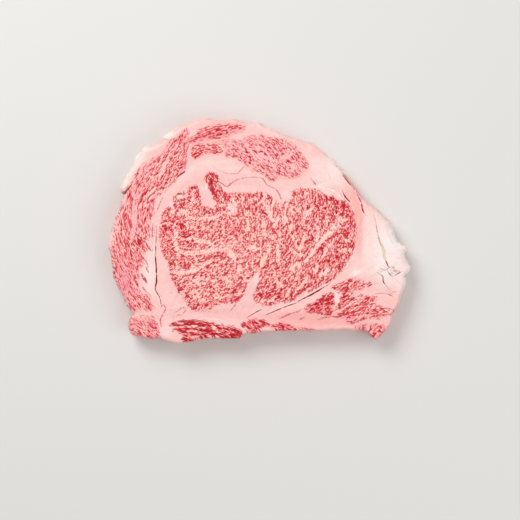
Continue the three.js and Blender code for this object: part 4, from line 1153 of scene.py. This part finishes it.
def mapBody(made):
    mesh = made.data
    at = vectors(made, "co") / mm
    corners, totals = np.empty(len(mesh.loops), int), np.empty(len(mesh.polygons), int)
    centres, facing = (np.empty(len(mesh.polygons) * 3) for _ in range(2))
    mesh.loops.foreach_get("vertex_index", corners)
    mesh.polygons.foreach_get("loop_total", totals)
    mesh.polygons.foreach_get("center", centres)
    mesh.polygons.foreach_get("normal", facing)
    centres, up = centres.reshape(-1, 3) / mm, facing.reshape(-1, 3)[:, 2]

    # The length round the rim, from its greatest radius in each direction.
    turns = np.linspace(-np.pi, np.pi, sheet["steps"] + 1)
    step = turns[1] - turns[0]
    angle, radius = np.arctan2(at[:, 1], at[:, 0]), np.hypot(at[:, 0], at[:, 1])
    widest = np.zeros(sheet["steps"])
    np.maximum.at(widest, np.clip(np.digitize(angle, turns) - 1, 0, sheet["steps"] - 1), radius)
    pieces = np.hypot(np.diff(widest, append=widest[0]), widest * step)
    lengths = np.concatenate([[0], np.cumsum(pieces)]) * sheet["sideScale"]
    whole = lengths[-1]
    faceAngle = np.arctan2(centres[:, 1], centres[:, 0])
    faceLength = np.interp(faceAngle, turns, lengths)
    ahead = np.interp(angle[corners], turns, lengths) - np.repeat(faceLength, totals)
    ahead = (ahead + whole / 2) % whole - whole / 2

    # Which of the three each face belongs to, and its place there.
    rim = np.interp(faceAngle, turns[:-1] + step / 2, widest)
    outside = np.hypot(centres[:, 0], centres[:, 1]) > rim - sheet["rim"]
    onSide = (up <= sheet["side"]) & (up > sheet["bottom"]) & outside
    kind = np.repeat(np.where(onSide, 1, np.where(up <= sheet["bottom"], 2, 0)), totals)
    row = np.clip((faceLength / whole * sheet["rows"]).astype(int), 0, sheet["rows"] - 1)
    alongRow = np.repeat(faceLength - row * whole / sheet["rows"], totals) + ahead
    upRow = at[corners, 2] * sheet["sideScale"] + np.repeat(row, totals) * sheet["rowStep"]
    x, y = at[corners, 0], at[corners, 1]
    across = np.choose(kind, [x + sheet["topAt"][0], alongRow + sheet["rowAt"][0],
                              x * sheet["bottomScale"] + sheet["bottomAt"][0]])
    upward = np.choose(kind, [y + sheet["topAt"][1], upRow + sheet["rowAt"][1],
                              -y * sheet["bottomScale"] + sheet["bottomAt"][1]])
    layer = mesh.uv_layers.new(name="OFBake")
    layer.data.foreach_set("uv", (np.stack([across, upward], axis=1) / sheet["size"]).ravel())


def paint(red, green, blue):
    # A colour as seen on a screen, from 0 to 255, in the light that the shader works with.
    shades = [c / 255 for c in (red, green, blue)]
    return tuple(c / 12.92 if c <= 0.04045 else ((c + 0.055) / 1.055) ** 2.4 for c in shades) + (1,)


beef = {
    # From marbling fat through hazy pink to the reddest lean.
    "lean": [
        (0.0, paint(254, 212, 200)), (0.2, paint(253, 201, 192)), (0.34, paint(252, 186, 179)),
        (0.47, paint(251, 159, 156)), (0.6, paint(247, 125, 129)), (0.74, paint(239, 84, 94)),
        (0.88, paint(225, 47, 62)), (1.0, paint(186, 11, 31)),
    ],
    "seam": paint(252, 199, 194), "cover": paint(252, 222, 216), "lump": paint(252, 240, 236),
    "wine": paint(140, 0, 12), "salmon": paint(253, 180, 174), "film": paint(240, 172, 164),
    "haze": paint(246, 161, 169), "fleck": paint(243, 170, 166),
    # The last colour in the next row is the cream-brown painted shade along shallow cracks and steps.
    "thread": paint(196, 72, 84), "split": paint(186, 18, 16), "shadeTint": paint(228, 198, 166),
    "leanRoughness": 0.34, "fatRoughness": 0.44, "patchyRoughness": 0.25,
    "bump": 0.35, "bumpDepth": 0.25, "refraction": 1.42, "coat": 0.12, "coatRoughness": 0.18,
    "scatter": 0.12, "scatterRadius": (1.0, 0.42, 0.3), "scatterScale": 0.6,
}

# Sizes of the patterns in the colours, in millimetres, and their noise's detail. The two at the end are
# mixed into the bump by their shares. Streaks and fibres follow the grain.
patterns = {
    "cloud": {"size": (11, 8, 12), "detail": 2.0}, "mottle": {"size": (2.8, 1.6, 4), "detail": 2.0},
    "streak": {"size": (5, 0.8, 8), "detail": 1.0}, "patch": {"size": (8, 8, 5), "detail": 3.0},
    "wander": {"size": (1.3, 1.3, 1.3), "detail": 2.0}, "sheen": {"size": (3, 3, 3), "detail": 3.0},
    "fibre": {"size": (2.2, 0.42, 6), "detail": 2.0, "share": 0.5},
    "pore": {"size": (0.7, 0.7, 1.5), "detail": 2.0, "share": 0.35},
}

# How the leanness becomes a depth of colour: its contrast, and the change by how much redder than usual the
# muscle is. The other pairs say where wine red, pale fat and haze begin and are full.
colouring = {
    "contrast": 0.94, "byRedness": 0.5, "usual": 0.3, "shift": 0.08,
    "wineDepth": (1.1, 1.35), "wineMuscle": (1.1, 1.45), "paleTone": (0.3, 0.9), "paleLean": (0.45, 0.2),
    "hazeLean": (0.85, 0.35),
}

# Colours laid over the seams. A wash follows a tone, broken up by the cloud and the mottle. Flecks follow a
# pattern, and thin out in paler fat.
washes = {
    "cover": {"tone": "paleAndHighlight", "cloud": 0.5, "mottle": 0.3, "edge": (0.0, 0.55)},
    "lump": {"tone": "paleAndHighlight", "cloud": 0.3, "mottle": 0.25, "edge": (0.5, 1.0)},
    "salmon": {"tone": "blush", "cloud": 0.4, "mottle": 0.3, "edge": (0.05, 0.9)},
}
flecks = [
    {"pattern": "mottle", "colour": "fleck", "edge": (0.06, 0.3), "share": 0.4, "thinner": 0.3},
    {"pattern": "streak", "colour": "fleck", "edge": (0.05, 0.3), "share": 0.55, "thinner": 0.35},
    {"pattern": "streak", "colour": "cover", "edge": (-0.05, -0.3), "share": 0.6, "thinner": 0},
]
specks = {"wall": (0.4, 0.54), "own": (0.2, 0.34), "share": 0.5, "crumbOwn": 1.6, "crumbLeast": 0.5}

# Down the sides: in patches a thin film over the lean and stains in the fat, and pink in the folds.
sideFilm = {"edge": (-0.25, 0.3), "share": 0.75}
sideStains = [
    {"colour": "salmon", "edge": (0.0, 0.3), "share": 0.5},
    {"colour": "cover", "edge": (-0.02, -0.3), "share": 0.6},
]
foldShare = 0.3

# The thin lines, with threads broken up by the wander of their edges, and a painted highlight, a pale lip,
# beside each split.
linework = {
    "wander": 0.6, "edge": (-0.14, 0.16), "reach": (1.9, 1.5), "begins": (0.0, 0.3), "opens": (0.3, 0.7),
    "gain": 1.1, "least": 0.3, "broken": 2.4,
    "lipAt": 0.5, "lipHighlightEdge": (0.6, 0.1), "lipHighlightReach": (2.3, 1.7), "lipHighlightDark": (0.3, 0.9), "lipHighlightShare": 0.4,
}


def leanColour(start, lean, deep, paleAndHighlight, blush):
    # Inside the muscles: one run of colours from fat to lean, deeper where the muscle is redder.
    use = colouring
    depth = (lean - 0.5) * (use["contrast"] + deep * use["byRedness"]) + 0.5
    depth = depth + (deep - use["usual"]) * use["shift"]
    colour = start.node("ShaderNodeValToRGB", {"stops": beef["lean"]}, {0: depth})
    colour = (depth.ramp(*use["wineDepth"]) * deep.ramp(*use["wineMuscle"])).between(colour, beef["wine"])
    colour = (paleAndHighlight.ramp(*use["paleTone"]) * lean.ramp(*use["paleLean"])).between(colour, beef["cover"])
    return (blush * lean.ramp(*use["hazeLean"])).between(colour, beef["haze"])


def fatColour(seen, place, tone, crumb):
    # Between and round the muscles: pink seams, paler cover and the nearly white outer lump, all mottled.
    colour = beef["seam"]
    for name, wash in washes.items():
        level = tone[wash["tone"]] + seen["cloud"] * wash["cloud"] + seen["mottle"] * wash["mottle"]
        colour = level.ramp(*wash["edge"]).between(colour, beef[name])
    for fleck in flecks:
        share = fleck["share"] - tone["paleAndHighlight"] * fleck["thinner"]
        found = seen[fleck["pattern"]].ramp(*fleck["edge"])
        colour = (found * share).between(colour, beef[fleck["colour"]])
    wall, own = place.sized(*crumbSize).cells()
    colour = (crumb * (own * specks["crumbOwn"] + specks["crumbLeast"])).between(colour, beef["lump"])
    sparse = wall.ramp(*specks["wall"]) * own.ramp(*specks["own"]) * specks["share"]
    return sparse.between(colour, beef["thread"])


def withLines(start, colour, wander):
    # Threads and splits in the fat, each split with a painted highlight along one side, a pale lip.
    use = linework
    near, side, half = start.attribute("line").parts()
    dark, shadeTint = start.attribute("ink").parts()[:2]
    begins = half.ramp(*use["begins"])
    inLine = (half + wander * use["wander"] - abs(side)).ramp(*use["edge"])
    inLine = inLine * near.ramp(*use["reach"]) * begins
    # lip marks where the painted highlight lies, just beside the split.
    lip = abs(side + half + use["lipAt"]).ramp(*use["lipHighlightEdge"]) * near.ramp(*use["lipHighlightReach"]) * begins
    ink = dark.ramp(*use["opens"]).between(beef["thread"], beef["split"])
    # Where the tint is positive, the line takes the cream-brown painted shade of a shallow crack or step.
    ink = shadeTint.between(ink, beef["shadeTint"])
    # Where the tint is negative, the line turns white, partly a crease and partly a painted highlight.
    ink = (0 - shadeTint).between(ink, beef["lump"])
    # The painted highlight along the split's lip, in the lump's white.
    colour = (lip * dark.ramp(*use["lipHighlightDark"]) * use["lipHighlightShare"]).between(colour, beef["lump"])
    return (inLine * (dark * use["gain"] + use["least"] + wander * use["broken"])).between(colour, ink)


def beefMaterial():
    material = bpy.data.materials.new("marbledBeef")
    material.use_nodes = True
    tree = material.node_tree
    tree.nodes.clear()
    start = Wire(tree)
    grain = start.attribute("grain")
    deep, paleAndHighlight, blush = start.attribute("tone").parts()
    onSide, crumb = start.attribute("share").parts()[1:]
    place = start.node("ShaderNodeTexCoord", out=3).sized(mm, mm, mm)
    lean, inMuscle = leanHere(start)
    seen = {}
    for name, part in patterns.items():
        source = grain if name in ("streak", "fibre") else place
        seen[name] = source.sized(*part["size"]).noise(part["detail"])

    inner = leanColour(start, lean, deep, paleAndHighlight, blush)
    film = onSide * seen["patch"].ramp(*sideFilm["edge"]) * sideFilm["share"]
    inner = film.between(inner, beef["film"])
    outer = fatColour(seen, place, {"paleAndHighlight": paleAndHighlight, "blush": blush}, crumb)
    outer = (onSide * creases(place) * foldShare).between(outer, beef["salmon"])
    for stain in sideStains:
        share = onSide * seen["patch"].ramp(*stain["edge"]) * stain["share"]
        outer = share.between(outer, beef[stain["colour"]])
    colour = withLines(start, inMuscle.between(outer, inner), seen["wander"])

    rough = (lean * inMuscle).ramp(*marbling["fatEdge"]) * (beef["fatRoughness"] - beef["leanRoughness"])
    rough = rough + beef["leanRoughness"] + seen["sheen"] * beef["patchyRoughness"]
    height = seen["fibre"] * patterns["fibre"]["share"] + seen["pore"] * patterns["pore"]["share"]
    bumped = start.node("ShaderNodeBump", {}, {
        "Strength": beef["bump"], "Distance": beef["bumpDepth"] * mm, "Height": height,
    })
    shader = start.node("ShaderNodeBsdfPrincipled", {}, {
        "Base Color": colour, "Roughness": rough, "Normal": bumped, "IOR": beef["refraction"],
        "Subsurface Weight": beef["scatter"], "Subsurface Radius": beef["scatterRadius"],
        "Subsurface Scale": beef["scatterScale"] * mm,
        "Coat Weight": beef["coat"], "Coat Roughness": beef["coatRoughness"],
    })
    start.node("ShaderNodeOutputMaterial", {}, {"Surface": shader})
    return material


# The stage. The camera looks straight down, frame is how many millimetres it sees across the steak's top,
# and aim is the place at the picture's middle. The floor, the lamps and nearest are in metres, power is
# in watts.
stage = {
    "frame": 364, "aim": (0.15, -20.15), "lens": 100, "sensor": 36, "nearest": 0.01,
    "floor": (226, 224, 221), "floorSize": 6, "floorRoughness": 0.75, "world": 0.45,
    "lamps": {
        "key": {"at": (-0.55, 0.75, 1.0), "size": 0.7, "power": 11.3},
        "fill": {"at": (0.8, -0.5, 0.9), "size": 1.0, "power": 5.1},
    },
}


def addLamp(name, at, size, power):
    # A square lamp that faces the steak.
    bpy.ops.object.light_add(type="AREA", location=at)
    lamp = bpy.context.object
    lamp.name = name
    lamp.data.size = size
    lamp.data.energy = power
    lamp.rotation_euler = (-lamp.location).to_track_quat("-Z", "Y").to_euler()


def setStage():
    bpy.ops.mesh.primitive_plane_add(size=stage["floorSize"], location=(0, 0, 0))
    floor = bpy.context.object
    floor.name = "floor"
    plain = bpy.data.materials.new("paleFloor")
    plain.use_nodes = True
    skin = plain.node_tree.nodes["Principled BSDF"]
    skin.inputs["Base Color"].default_value = paint(*stage["floor"])
    skin.inputs["Roughness"].default_value = stage["floorRoughness"]
    floor.data.materials.append(plain)
    x, y = stage["aim"]
    z = stage["frame"] * stage["lens"] / stage["sensor"] + body["thickness"]
    bpy.ops.object.camera_add(location=(x * mm, y * mm, z * mm), rotation=(0, 0, 0))
    camera = bpy.context.object
    camera.data.lens = stage["lens"]
    camera.data.sensor_width = stage["sensor"]
    camera.data.clip_start = stage["nearest"]
    bpy.context.scene.camera = camera
    for name, lamp in stage["lamps"].items():
        addLamp(name, **lamp)
    world = bpy.data.worlds.new("studio")
    bpy.context.scene.world = world
    world.use_nodes = True
    sky = world.node_tree.nodes["Background"]
    sky.inputs["Color"].default_value = (1, 1, 1, 1)
    sky.inputs["Strength"].default_value = stage["world"]
    bpy.context.scene.view_settings.view_transform = "Standard"


chartValues = drawChart()
print("cut face mapped")
steak = makeBody()
pushRim(steak)
cutSlits(steak)
thinBottom(steak)
refineSplits(steak)
carveSplits(steak)
print("body made", len(steak.data.polygons), "faces")
paintBody(steak)
roughenBody(steak)
mapBody(steak)
steak.data.shade_smooth()
steak.data.materials.append(beefMaterial())
print("relief and material on")
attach(steak, "root")
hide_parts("steak")
setStage()
print("stage set")
